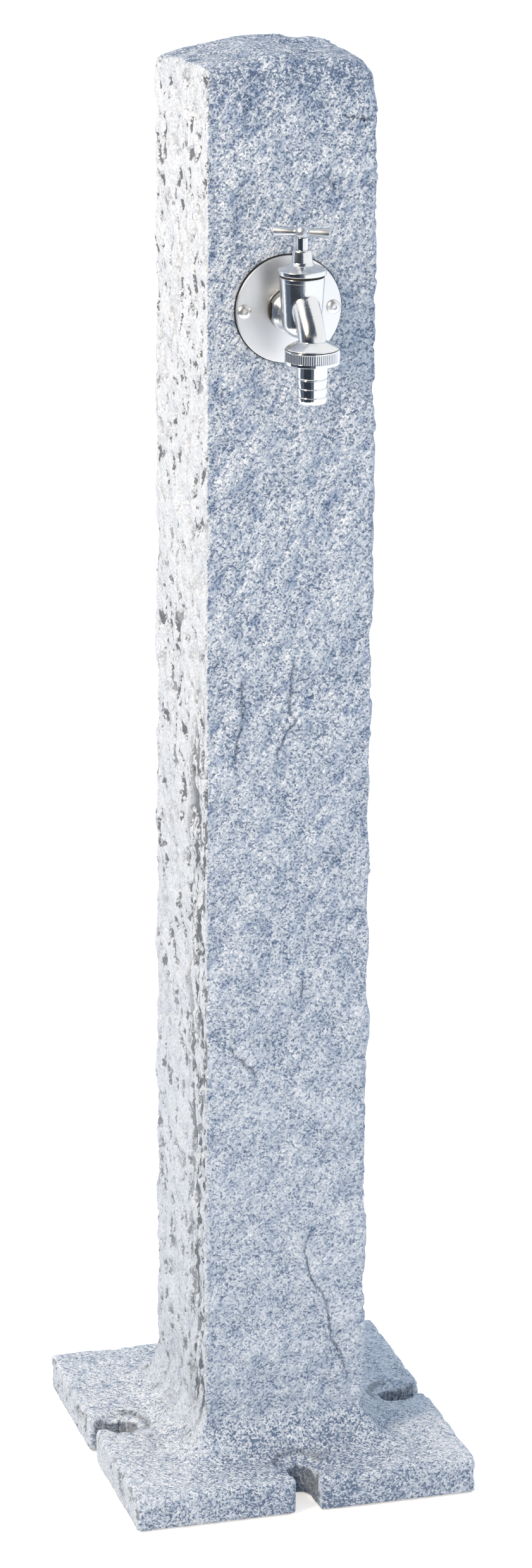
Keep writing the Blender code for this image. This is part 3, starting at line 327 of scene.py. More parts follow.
def feed(node, inputs):
    """Gives a node its inputs: fields are linked, and other values are set."""
    for key, value in dict(inputs).items():
        if isinstance(value, Field):
            value.tree.links.new(value.socket, node.inputs[key])
        else:
            node.inputs[key].default_value = value


def add(tree, kind, inputs, **settings):
    node = tree.nodes.new(kind)
    for name, value in settings.items():
        setattr(node, name, value)
    feed(node, inputs)
    return node


def field(tree, kind, inputs=(), output=0, **settings):
    """Adds a node and gives one of its outputs."""
    return Field(tree, add(tree, kind, inputs, **settings).outputs[output])


def new_material(name):
    """An empty material, its tree and its shader."""
    material = bpy.data.materials.new(name)
    material.use_nodes = True
    return material, material.node_tree, material.node_tree.nodes["Principled BSDF"]


def on_object(tree):
    """The place on the object, in metres."""
    return field(tree, "ShaderNodeTexCoord", output="Object")


def show(name, mesh):
    """Links a mesh as an object at the origin."""
    obj = bpy.data.objects.new(name, mesh)
    bpy.context.scene.collection.objects.link(obj)
    return obj


def solid(name, bm):
    """An object from a closed bmesh, its faces turned outwards."""
    bmesh.ops.recalc_face_normals(bm, faces=bm.faces)
    mesh = bpy.data.meshes.new(name)
    bm.to_mesh(mesh)
    bm.free()
    return show(name, mesh)


def combine(obj, tool, operation="DIFFERENCE", solver="EXACT"):
    boolean = obj.modifiers.new(tool.name, "BOOLEAN")
    boolean.operation = operation
    boolean.solver = solver
    boolean.object = tool


def gridded(obj, spacing):
    """Lays an even grid of points over an object."""
    grid = obj.modifiers.new("Grid", "REMESH")
    grid.mode = "VOXEL"
    grid.voxel_size = spacing


def settled(obj, name):
    """A new object with the evaluated mesh. The old object and the tools that shaped it go."""
    graph = bpy.context.evaluated_depsgraph_get()
    mesh = bpy.data.meshes.new_from_object(obj.evaluated_get(graph))
    tools = [m.object for m in obj.modifiers if m.type == "BOOLEAN"]
    for old in [*tools, obj]:
        bpy.data.objects.remove(old, do_unlink=True)
    mesh.name = name
    return show(name, mesh)


def finished(obj, finish, body, nodes, sharp=SHARP_EDGE):
    """Gives a piece its finish and its body, and lets it stand for CAD nodes."""
    mesh = obj.data
    mesh.materials.clear()
    mesh.materials.append(FINISHES[finish])
    mesh.shade_smooth()
    mesh.set_sharp_from_angle(angle=math.radians(sharp))
    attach(obj, body)
    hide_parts(*nodes)


def arc(centre, radius, start, end, steps):
    """Points on an arc, by angle in degrees."""
    points = []
    for i in range(steps + 1):
        angle = math.radians(start + (end - start) * i / steps)
        points.append((centre[0] + radius * math.cos(angle), centre[1] + radius * math.sin(angle)))
    return points


def softened(profile, radius, steps=3):
    """A profile whose inner corners are rounded over this much of each side."""
    points = [Vector(p) for p in profile]
    soft = [points[0]]
    for before, corner, after in zip(points, points[1:], points[2:]):
        back, on = before - corner, after - corner
        if corner.x < MERGE or min(back.length, on.length) < MERGE:
            soft.append(corner)
            continue
        start = corner + back.normalized() * min(radius, back.length * EDGE_SHARE)
        end = corner + on.normalized() * min(radius, on.length * EDGE_SHARE)
        for i in range(steps + 1):
            share = i / steps
            soft.append((1 - share) ** 2 * start + 2 * (1 - share) * share * corner + share**2 * end)
    soft.append(points[-1])
    return [tuple(p) for p in soft]


def bridge(bm, pairs, steps):
    """Faces between pairs of rows of points. A row of one point makes a fan."""
    for upper, lower in pairs:
        for i in range(steps):
            j = i + 1
            corners = [upper[i % len(upper)], lower[i % len(lower)]]
            corners += [lower[j % len(lower)], upper[j % len(upper)]]
            corners = list(dict.fromkeys(corners))
            if len(corners) > 2:
                bm.faces.new(corners)


def turned(profile, place=Matrix(), steps=FINE_STEPS, ring=False):
    """A bmesh of (radius, height) points turned about Z. A ring's profile closes on itself."""
    bm = bmesh.new()
    rows = []
    for radius, height in profile:
        count = steps if radius > MERGE else 1
        angles = [2 * math.pi * i / steps for i in range(count)]
        rows.append([bm.verts.new((radius * math.cos(a), radius * math.sin(a), height)) for a in angles])
    pairs = list(zip(rows, rows[1:]))
    if ring:
        pairs.append((rows[-1], rows[0]))
    bridge(bm, pairs, steps)
    bmesh.ops.transform(bm, matrix=place, verts=bm.verts)
    return bm


def lathe(name, profile, edge, place, ring=False):
    """A turned object whose profile has soft edges."""
    return solid(name, turned(softened(profile, edge), place, ring=ring))


def bar(radius, bottom, top, place=Matrix(), steps=BORE_STEPS):
    """A round bar along Z, mostly for cutting bores."""
    return turned([(0, top), (radius, top), (radius, bottom), (0, bottom)], place, steps)


def block(size, centre):
    bm = bmesh.new()
    bmesh.ops.create_cube(bm, size=1)
    bmesh.ops.scale(bm, verts=bm.verts, vec=size)
    bmesh.ops.translate(bm, verts=bm.verts, vec=centre)
    return bm


def joined(meshes):
    """One bmesh from several."""
    whole = bmesh.new()
    for bm in meshes:
        bmesh.ops.recalc_face_normals(bm, faces=bm.faces)
        part = bpy.data.meshes.new("part")
        bm.to_mesh(part)
        bm.free()
        whole.from_mesh(part)
        bpy.data.meshes.remove(part)
    return whole


def label(name):
    """A size's name as a node group shows it."""
    return name.replace("_", " ").capitalize()


def node_group(name, sockets):
    """An empty geometry tree, its inputs by name and its output node."""
    tree = bpy.data.node_groups.new(name, "GeometryNodeTree")
    tree.interface.new_socket("Geometry", in_out="OUTPUT", socket_type="NodeSocketGeometry")
    tree.interface.new_socket("Geometry", in_out="INPUT", socket_type="NodeSocketGeometry")
    for title, kind in sockets.items():
        tree.interface.new_socket(title, in_out="INPUT", socket_type=f"NodeSocket{kind}")
    given = tree.nodes.new("NodeGroupInput").outputs
    return tree, {socket.name: Field(tree, socket) for socket in given}, tree.nodes.new("NodeGroupOutput")


def closed_tree(form, size, result):
    """Ends a geometry tree: all instances made real, and the material set."""
    form = field(form.tree, "GeometryNodeRealizeInstances", {0: form})
    form = field(form.tree, "GeometryNodeSetMaterial", {0: form, "Material": size["Material"]})
    feed(result, {0: form})
    return form.tree


def run_nodes(obj, tree, values, name):
    """Runs a geometry tree on an object and keeps the result as a plain mesh."""
    modifier = obj.modifiers.new(tree.name, "NODES")
    modifier.node_group = tree
    for item in tree.interface.items_tree:
        if item.in_out == "INPUT" and item.name in values:
            modifier[item.identifier] = values[item.name]
    return settled(obj, name)


def inlet_place(post, x=0.0):
    """Frame of the inlet: its Z runs out of the post's face, and its Y runs up."""
    return Matrix.Translation((TAP_X + x, -post.depth / 2, TAP_Z)) @ Matrix.Rotation(QUARTER, 4, "X")


def spindle_place(post, tap):
    return Matrix.Translation((TAP_X, -post.depth / 2 - tap.barrel_reach, TAP_Z))


def spout_place(post, tap):
    return Matrix.Translation((TAP_X, -post.depth / 2 - tap.spout_reach, TAP_Z))


# Finishes

# Sizes of the granite's marks
FLECK = 1.1 * MM
CRYSTAL = 2.2 * MM
CLOUD = 24 * MM
SWARM = 22 * MM
GRAIN = 2.2 * MM
STROKE = (7 * MM, 9 * MM, 16 * MM)
STROKE_TURN = (0, 0.6, 0)
SCRATCH = (2.4 * MM, 12 * MM, 16 * MM)
SCRATCH_TURN = (0, 0, 0.6)
PIT_STRETCH = (0.3, 0.55, 0.42)  # the pits stand upright
FISSURE_STRETCH = (0.3, 0.75, 0.18)
# Heights between which the granite changes
BASE_EDGE = (0.016, 0.0245)
BASE_TOP = (0.024, 0.045)
BASE_FOOT = (0.03, 0.05)
LOWER_PITS = (0.25, 0.48)
LOWER_HALF = (0.25, 0.60)
# painted light on the side faces, paler from the lower to the upper height
SIDE_LIGHT_HEIGHT = (0.15, 0.60)
CROWN = (0.955, 0.985)
PAINTED_SHADOW_CENTRE = (0.012, -0.09, 0.03)  # middle of the painted shadow of the column on the base, in front of the foot
# how far the painted shadow reaches: gone at the first, full within the second
PAINTED_SHADOW_REACH = (0.105, 0.03)
# Noise between which a mark sets in
CLOUD_NOISE = (0.28, 0.72)
STROKE_SHADE_NOISE = (0.47, 0.34)
PIT_NOISE = (0.543, 0.572)
SWARM_NOISE = (0.40, 0.52)
FISSURE_NOISE = (0.49, 0.525)
# Shifts of tone, from slate at nought to white at one
CLOUD_TONES = (-0.11, 0.11)
BASE_TOP_TONE = 0.11
BASE_EDGE_TONE = -0.01
CROWN_TONE = -0.17
PAINTED_SHADOW_TONE = -0.092
# tones of the painted light on the side faces, low and high
SIDE_LIGHT_TONES = (0.56, 0.75)
# Strengths of the marks, low on the column first where there are two
CRYSTAL_SHARE = 0.25
FLECK_CONTRAST = (0.81, 0.94)
BASE_CONTRAST = 0.16
BASE_MARKS = 2.6
STROKES = (0.55, 1.0)
STROKE_SHADE_SHARE = 0.75
PIT_SHADE = (0.75, 1.0)
PITS_BETWEEN_SWARMS = 0.25
HOLLOW_SHADE = 0.85
FLECK_RELIEF = 0.2
STROKE_RELIEF = 4.2
GRANITE_BUMP = (0.9, 1.1 * MM)
GRANITE_ROUGHNESS = (0.72, 0.52)
PLASTIC_IOR = 1.5
SKIN_MARKS = ("side", "crack", "fissured", "soiled")  # what the hewn surface stores for its finish


def granite_look(colours, pit_width):
    """Polyethylene moulded with mineral flecks: a dull, speckled, slightly rough stone look.

    Flecks of about a millimetre run from slate to white, soft blue-grey clouds drift through them,
    and the pits and cracks of the hewn faces hold shade.
    """
    material, tree, shader = new_material("granite_look_polyethylene")
    place = on_object(tree)
    height = place.parts()[2]
    marks = [field(tree, "ShaderNodeAttribute", {}, "Fac", attribute_name=name) for name in SKIN_MARKS]
    side, crack, fissured, soiled = marks
    on_base = height.span(*BASE_FOOT, BASE_MARKS, 0.0)
    rougher = height.span(*LOWER_HALF, *STROKES)

    # Flecks with a share of coarser crystals, in less contrast low on the column
    cells = []
    for size in (FLECK, CRYSTAL):
        cell = field(tree, "ShaderNodeTexVoronoi", {"Vector": place, "Scale": 1 / size}, "Color")
        cells.append(field(tree, "ShaderNodeSeparateColor", {0: cell}))
    fine, coarse = cells
    spread = field(tree, "ShaderNodeMix", {0: CRYSTAL_SHARE, 2: fine, 3: coarse})
    contrast = height.span(*LOWER_HALF, *FLECK_CONTRAST).plus(on_base, BASE_CONTRAST)
    spread = contrast.mixed(0.5, spread)

    # Clouds, a lighter base top with a painted shadow in front of the foot, a darker crown and painted light
    # on the side faces
    drift = place.noise(CLOUD, 4, 0.62).span(*CLOUD_NOISE, *CLOUD_TONES)
    # The base top is lighter than the base's edge, fading out up the foot
    edge = height.span(*BASE_EDGE, BASE_EDGE_TONE, BASE_TOP_TONE)
    base_top_lift = height.span(*BASE_TOP, BASE_TOP_TONE, 0.0).least(edge)
    drift = drift + base_top_lift + height.span(*CROWN, 0.0, CROWN_TONE)
    # Painted shadow: the base darkens in front of the column's foot, where its shadow falls
    dark = place.vector("DISTANCE", PAINTED_SHADOW_CENTRE, output="Value").span(*PAINTED_SHADOW_REACH, 0.0, PAINTED_SHADOW_TONE)
    tone = spread + drift.plus(dark, on_base)
    # Painted light: the side faces are mixed half way to a pale tone, paler higher up
    tone = (side * 0.5).mixed(tone, height.span(*SIDE_LIGHT_HEIGHT, *SIDE_LIGHT_TONES))
    speckle = add(tree, "ShaderNodeValToRGB", {0: tone})
    stops = {
        0.14: colours.granite_dark,
        0.32: colours.granite_blue,
        0.50: colours.granite_mid,
        0.70: colours.granite_pale,
        0.86: colours.granite_white,
    }
    ramp = speckle.color_ramp.elements
    for i, (where, shade) in enumerate(stops.items()):
        stop = ramp[i] if i < 2 else ramp.new(where)
        stop.position = where
        stop.color = shade
    speckle = Field(tree, speckle.outputs[0])

    # Slanting strokes, with painted blue shade in their hollows, except on the side faces
    knocks = place.slanted(STROKE_TURN, STROKE).noise(1, 3, 0.6)
    stroke_shade = knocks.span(*STROKE_SHADE_NOISE, 0.0, STROKE_SHADE_SHARE) * rougher * (1.0 - side)
    speckle = stroke_shade.tinted(speckle, colours.granite_stroke_shade, "MULTIPLY")

    # Shade in the pits, cracks, fissures and slots
    upright = place.vector("MULTIPLY", PIT_STRETCH)
    pit = upright.noise(pit_width, 4, 0.62).span(*PIT_NOISE)
    pit = pit * upright.noise(SWARM, 1).span(*SWARM_NOISE, PITS_BETWEEN_SWARMS, 1.0)
    pit = pit * height.span(*LOWER_PITS, *PIT_SHADE) * side
    drawn = place.vector("MULTIPLY", FISSURE_STRETCH)
    fissure = drawn.noise(pit_width, 4, 0.65).span(*FISSURE_NOISE) * fissured
    hollow = pit.most(crack * 0.5).most(fissure).most(soiled)
    tint = (hollow * HOLLOW_SHADE).tinted(speckle, colours.granite_hollow)

    # Grain, strokes and the base's scratches, too fine for the mesh
    relief = place.noise(GRAIN, 3, 0.7).plus(fine, FLECK_RELIEF).plus(knocks, rougher * STROKE_RELIEF)
    relief = relief.plus(place.slanted(SCRATCH_TURN, SCRATCH).noise(1, 2), on_base)
    rough = fine.span(0, 1, *GRANITE_ROUGHNESS)
    feed(shader, {"Base Color": tint, "Roughness": rough, "IOR": PLASTIC_IOR})
    feed(shader, {"Normal": relief.bump(*GRANITE_BUMP)})
    return material


# Chrome: the material's name, its colour, the width and depth of its orange peel, its roughness
CHROMES = {
    "chrome": ("polished_chrome_plate", "chrome", 3 * MM, 0.006 * MM, 0.045),
    "satin": ("satin_chrome_plate", "satin", 1.0 * MM, 0.008 * MM, 0.26),
    "cast": ("cast_chrome_plate", "chrome", 1.1 * MM, 0.07 * MM, 0.13),
}
SMEAR = 9 * MM  # size of the duller patches on chrome
SMEAR_DULL = 1.8
HAIR_LINE = (0.25 * MM, 2.5 * MM, 40 * MM)  # the real ones are finer and wouldn't show
HAIR_BUMP = (0.35, 0.02 * MM)
STEEL_ROUGHNESS = (0.30, 0.42)
TARNISH = 8 * MM
TARNISH_NOISE = (0.45, 0.7)
TARNISH_SHARE = 0.6
BRASS_ROUGHNESS = (0.26, 0.46)
# Dull materials: the material's name, the size of its grain, its roughness
DULLS = {
    "rubber": ("black_rubber", 1.2 * MM, 0.7),
    "fibre": ("pressed_fibre", 0.8 * MM, 0.8),
    "packing": ("stem_packing_ptfe", 1.5 * MM, 0.55),
}
MOTTLE = (0.7, 1.15)  # darkest and palest share of a dull colour
GRAIN_FLATNESS = 6  # a grain's width over its depth


def chrome_look(name, tone, grain, relief, roughness):
    """Chrome plate. Over a casting it keeps a faint orange peel, and over turned brass it is a mirror."""
    material, tree, shader = new_material(name)
    place = on_object(tree)
    rough = place.noise(SMEAR, 4).span(*NOISE_RANGE, roughness, roughness * SMEAR_DULL)
    peel = place.noise(grain, 2).bump(1.0, relief)
    feed(shader, {"Base Color": tone, "Metallic": 1, "Roughness": rough, "Normal": peel})
    return material


def brushed_steel_look(colours):
    """Stainless sheet brushed up and down: bright, satin, with hair lines."""
    material, tree, shader = new_material("brushed_stainless_steel")
    drawn = {"Vector": on_object(tree), "Scale": [1 / side for side in HAIR_LINE]}
    hair = field(tree, "ShaderNodeMapping", drawn).noise(1, 3, 0.6)
    rough = hair.span(*NOISE_RANGE, *STEEL_ROUGHNESS)
    lines = hair.bump(*HAIR_BUMP)
    feed(shader, {"Base Color": colours.steel, "Metallic": 1, "Roughness": rough, "Normal": lines})
    return material


def brass_look(colours):
    """Turned brass that has dulled in patches."""
    material, tree, shader = new_material("turned_brass")
    patches = on_object(tree).noise(TARNISH, 4)
    dulled = patches.span(*TARNISH_NOISE, 0, TARNISH_SHARE)
    tint = dulled.tinted(colours.brass, colours.brass_tarnish)
    rough = patches.span(*NOISE_RANGE, *BRASS_ROUGHNESS)
    feed(shader, {"Base Color": tint, "Metallic": 1, "Roughness": rough})
    return material


def dull_look(name, tone, grain, roughness):
    """A dull pressed or moulded material, such as rubber, fibre or packing: matt, with a fine grain."""
    material, tree, shader = new_material(name)
    mottle = on_object(tree).noise(grain, 3)
    shade = {0: tone[:3], "Scale": mottle.span(*NOISE_RANGE, *MOTTLE)}
    tint = field(tree, "ShaderNodeVectorMath", shade, operation="SCALE")
    rise = mottle.bump(0.5, grain / GRAIN_FLATNESS)
    feed(shader, {"Base Color": tint, "Roughness": roughness, "Normal": rise})
    return material


FINISHES = {}


class WATERPOST_OT_finishes(bpy.types.Operator):
    """Makes the finishes and gives them to the CAD pieces that stay"""

    bl_idname = "water_post.finishes"
    bl_label = "Finishes"

    def execute(self, context):
        colours = context.scene.water_post_finishes
        FINISHES["granite"] = granite_look(colours, context.scene.water_post_post.pit_width)
        for finish, (name, tone, *peel) in CHROMES.items():
            FINISHES[finish] = chrome_look(name, getattr(colours, tone), *peel)
        FINISHES["steel"] = brushed_steel_look(colours)
        FINISHES["brass"] = brass_look(colours)
        for finish, (name, *grain) in DULLS.items():
            FINISHES[finish] = dull_look(name, getattr(colours, finish), *grain)
        kept = {
            "brass": (
                "insert_left insert_right tap_backnut elbow inlet_socket socket_backnut"
                " valve_jumper washer_screw"
            ),
            "steel": "clamp_top clamp_bottom clamp_screw_top clamp_screw_bottom",
            "rubber": "riser_hose socket_washer valve_washer union_gasket",
            "fibre": "elbow_washer",
            "packing": "stem_packing",
        }
        for finish, names in kept.items():
            for name in names.split():
                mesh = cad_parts[name].data
                mesh.materials.clear()
                mesh.materials.append(FINISHES[finish])
        return {"FINISHED"}


# Post

# Cracks and ledges of the front face, as (x, height) points down each line
CRACKS = (
    ((-0.0334, 0.584), (-0.0325, 0.570), (-0.0333, 0.556), (-0.0372, 0.533)),
    (
        (0.0024, 0.592),
        (0.0012, 0.573),
        (-0.0009, 0.561),
        (0.0044, 0.554),
        (-0.0034, 0.5425),
        (-0.0086, 0.531),
    ),
    ((0.0102, 0.368), (0.0098, 0.3555)),
    ((-0.0405, 0.323), (-0.0230, 0.304)),
    ((0.0170, 0.182), (0.0125, 0.171), (0.0181, 0.147), (0.0251, 0.138), (0.0297, 0.128)),
    ((0.0297, 0.128), (0.0332, 0.100), (0.0402, 0.090), (0.0445, 0.071)),
    ((0.0326, 0.960), (0.0412, 0.958), (0.0540, 0.956)),
    ((-0.0302, 0.972), (-0.0331, 0.960)),
    ((0.0245, 0.924), (0.0280, 0.912)),
)
COLUMN_CUT = 0.008  # spacing of the column's points before the fine grid
RING_CUT = 0.012
FILLET_STEPS = 10
BASE_EDGE_STEPS = 3
SPARE = 0.002  # most that a hewn face may stand proud
FLAT_RADIUS = 0.065  # the hewn face is flat this far round the tap
FLAT_FADE = 0.025
CRACK_LOWEST = 0.06  # no crack reaches below this height
CRACK_CUTS = 3
COLUMN_MIDDLE = 0.5
GOUGE_NOISE = 0.45  # a gouge is at its deepest from here
SLOT_STEPS = 16
MOUTH_STEPS = 6
STONE_SHARP = 70
# Sizes of the post that the hewn surface's nodes take
SKIN_SIZES = (
    "dent_depth dent_pitch chip_depth chip_pitch pit_depth pit_width fissure_depth lip deepest"
    " crown_chip crack_depth crack_width ledge"
).split()
# Start and end of each change in the hewn surface
WEAR_HEIGHT = (0.962, 0.980)
WEAR_ACROSS = (-0.047, -0.022)
WEAR_ALONG = (0.030, -0.010)
WEAR_ROUNDS = 36
TAP_CLEAR = (0.037, 0.056)
STRAIGHT_EDGE = (0.001, 0.009)
FISSURE_FRONT = (-0.064, -0.059)
FISSURE_BACK = (-0.018, -0.036)
FISSURE_FOOT = (0.034, 0.060)
FISSURE_TOP = (0.60, 0.50)
LIP_START = (0.0012, 0.0040)
LIP_END = (0.018, 0.006)
LIP_PATCH = 1 / 33  # size of the patches that lie back
# heights, places and band of the painted shade in the slots and seats
SLOT_SHADE_HEIGHT = (0.040, 0.030)
SLOT_ACROSS = (0.0195, 0.0175)
SLOT_ALONG = (0.1195, 0.1170)
SEAT_SHADE_BAND = (0.0026, 0.0012)
SEAT_REAR = (0.002, -0.006)
CRACK_RAGGED = 1 / 140  # size of a crack's kinks
CRACK_STRAY = 0.008
LEDGE_REACH = 0.016
CROWN_CHIPS = (0.940, 0.965)
PROUD_HEIGHT = (0.030, 0.060)
# Parts of a normal between which a face counts as turned that way
FACING = (0.5, 0.8)
FACING_BACK = (-0.5, -0.8)
UNDERSIDE = (-0.8, -0.5)
UPRIGHT = (0.5, 0.3)
LEVEL = (0.1, 0.5)
CROWN_FACING = (0.2, 0.6)
# Noise between which the surface rises or falls
CHIP_NOISE = (0.25, 0.75)
PIT_FALL = (0.528, 0.595)
FISSURE_FALL = (0.50, 0.56)
LIP_NOISE = (0.42, 0.58)
EDGE_CHIPS = 0.1  # share of the chips that is left on the straight edge
# strengths of the painted shade on the slot walls and at the seats' rear
WALL_SHADE = 0.62
REAR_SHADE = 0.6


def smooth_step(value, low, high):
    share = min(max((value - low) / (high - low), 0), 1)
    return share * share * (3 - 2 * share)


def fillet_spread(post, height):
    """How far the foot stands out of the column at this height."""
    above = height - post.base_thickness + post.fillet_sink
    if above >= post.fillet:
        return 0.0
    reach = post.fillet - max(above, 0)
    return post.fillet - math.sqrt(post.fillet**2 - reach**2)


def crown_height(post, x, y):
    across = (x - post.peak_x) / (post.width / 2)
    along = (y - post.peak_y) / (post.depth / 2)
    bowl = post.crown_fall_x * across**2 + post.crown_fall_y * along**2
    return post.height - bowl + post.crown_twist * across * along


def crown_lowest(post):
    """Height of the crown's lowest corner."""
    half_x, half_y = post.width / 2, post.depth / 2
    return min(crown_height(post, x, y) for x in (-half_x, half_x) for y in (-half_y, half_y))


def gouge(post, point):
    """How deep the side face is gouged here, as in the solid."""
    if abs(point.x) < post.width / 2 - MERGE:
        return 0.0
    upright = (point.x / post.gouge_length, point.y / post.gouge_width, point.z / post.gouge_length)
    inside = smooth_step(post.depth / 2 - abs(point.y), 0, post.gouge_edge)
    return post.gouge_depth * inside * smooth_step(noise.noise(upright), 0, GOUGE_NOISE)


def hewn_offset(post, point):
    """How far the hewn face wanders here, as in the solid. It is flat round the tap and at the foot."""
    wander = post.hewn_depth * noise.noise(point / post.hewn_pitch) - gouge(post, point)
    wander *= smooth_step(point.z, post.base_thickness, post.base_thickness + 2 * post.fillet)
    if point.y > -post.depth / 2 + MERGE:
        return wander
    from_tap = math.hypot(point.x - TAP_X, point.z - TAP_Z)
    return wander * smooth_step(from_tap, FLAT_RADIUS, FLAT_RADIUS + FLAT_FADE)


def sliced_block(size, centre, cuts):
    """A block cut across at the given places on each axis."""
    bm = block(size, centre)
    for axis, places in enumerate(cuts):
        normal = Vector((0, 0, 0))
        normal[axis] = 1
        for place in places:
            everything = bm.verts[:] + bm.edges[:] + bm.faces[:]
            bmesh.ops.bisect_plane(bm, geom=everything, plane_co=normal * place, plane_no=normal)
    return bm


def even(low, high, pitch):
    """Evenly spaced places between two ends, without the ends."""
    count = max(1, round((high - low) / pitch))
    return [low + (high - low) * i / count for i in range(1, count)]


def column(post):
    """The column with its foot, crown and hewn faces."""
    half = Vector((post.width / 2, post.depth / 2, 0))
    bottom = post.base_thickness / 2
    top = crown_lowest(post)
    start = post.base_thickness - post.fillet_sink
    turns = [QUARTER * i / FILLET_STEPS for i in range(FILLET_STEPS + 1)]
    levels = [start + post.fillet * (1 - math.cos(turn)) for turn in turns]
    levels += even(levels[-1], top, RING_CUT)
    cuts = [even(-half.x, half.x, COLUMN_CUT), even(-half.y, half.y, COLUMN_CUT), levels]
    size = (post.width, post.depth, top - bottom)
    bm = sliced_block(size, (0, 0, (top + bottom) / 2), cuts)
    for vert in bm.verts:
        flat = vert.co.copy()
        push = hewn_offset(post, flat)
        spread = fillet_spread(post, flat.z)
        for axis in (0, 1):
            on_side = abs(abs(flat[axis]) - half[axis]) < MERGE
            vert.co[axis] = flat[axis] * (half[axis] + spread) / half[axis]
            if on_side:
                vert.co[axis] += math.copysign(push, flat[axis])
        if abs(flat.z - top) < MERGE:
            vert.co.z = crown_height(post, flat.x, flat.y)
    return bm


def slot_cutter(post, slots, place, turn):
    """One U slot through the base, its mouth rounded, and the round seat over it."""
    half = slots.width / 2
    mouth = slots.inset - slots.mouth
    outer = half + slots.mouth
    past = slots.inset + CUT_OVER
    points = arc((0, 0), half, 90, 270, SLOT_STEPS)
    points += arc((mouth, -outer), slots.mouth, 90, 0, MOUTH_STEPS)
    points += [(past, -outer), (past, outer)]
    points += arc((mouth, outer), slots.mouth, 0, -90, MOUTH_STEPS)
    bm = bmesh.new()
    face = bm.faces.new([bm.verts.new((x, y, -CUT_OVER)) for x, y in points])
    grown = bmesh.ops.extrude_face_region(bm, geom=[face])
    risen = [item for item in grown["geom"] if isinstance(item, bmesh.types.BMVert)]
    bmesh.ops.translate(bm, verts=risen, vec=(0, 0, post.base_thickness + 2 * CUT_OVER))
    bmesh.ops.transform(bm, matrix=Matrix.Translation(place) @ Matrix.Rotation(turn, 4, "Z"), verts=bm.verts)
    floor = post.base_thickness - slots.seat_sink
    seat = bar(slots.seat_radius, floor, floor + 2 * post.fillet, Matrix.Translation(place))
    return bm, seat


def moulded_form(post, slots):
    """Column and base in one, with the anchor slots cut, on an even grid of points."""
    shell = solid("moulded_form", column(post))
    inset = 2 * post.base_inset
    size = (BASE_WIDTH - inset, BASE_DEPTH - inset, post.base_thickness - post.base_inset)
    base = solid("base", block(size, (0, 0, (post.base_thickness + post.base_inset) / 2)))
    bevel = base.modifiers.new("Round", "BEVEL")
    bevel.width = post.base_edge
    bevel.segments = BASE_EDGE_STEPS
    combine(shell, base, "UNION")
    in_x = BASE_WIDTH / 2 - slots.inset
    in_y = BASE_DEPTH / 2 - slots.inset
    places = ((in_x, 0, 0), (0, in_y, 0), (-in_x, 0, 0), (0, -in_y, 0))
    for i, place in enumerate(places):
        for tool in slot_cutter(post, slots, place, i * QUARTER):
            combine(shell, solid(f"slot_{i}", tool))
    gridded(shell, post.grid)
    return settled(shell, "moulded_form")


def refine_cracks(obj, reach, cuts):
    """Finer faces along the cracks, so that the grooves are sharp."""
    bm = bmesh.new()
    bm.from_mesh(obj.data)
    near = set()
    lines = [[Vector((x, z)) for x, z in line] for line in CRACKS]
    front = min(v.co.y for v in bm.verts if v.co.z > COLUMN_MIDDLE)
    for edge in bm.edges:
        middle = (edge.verts[0].co + edge.verts[1].co) / 2
        if middle.y > front + 4 * reach or middle.z < CRACK_LOWEST:
            continue
        flat = Vector((middle.x, middle.z))
        for line in lines:
            if any(segment_distance(flat, a, b) < reach for a, b in zip(line, line[1:])):
                near.add(edge)
                break
    bmesh.ops.subdivide_edges(bm, edges=list(near), cuts=cuts, use_grid_fill=True)
    bmesh.ops.triangulate(bm, faces=[f for f in bm.faces if len(f.verts) > 4])
    bm.to_mesh(obj.data)
    bm.free()


def segment_distance(point, start, end):
    along = end - start
    share = min(max((point - start).dot(along) / along.length_squared, 0), 1)
    return (point - start - along * share).length


def crack_lines(post):
    """The cracks as loose edges on the front face, for the nodes to measure from."""
    mesh = bpy.data.meshes.new("crack_lines")
    points, edges = [], []
    for line in CRACKS:
        first = len(points)
        points += [(x, -post.depth / 2, z) for x, z in line]
        edges += [(first + i, first + i + 1) for i in range(len(line) - 1)]
    mesh.from_pydata(points, edges, [])
    return show("crack_lines", mesh)


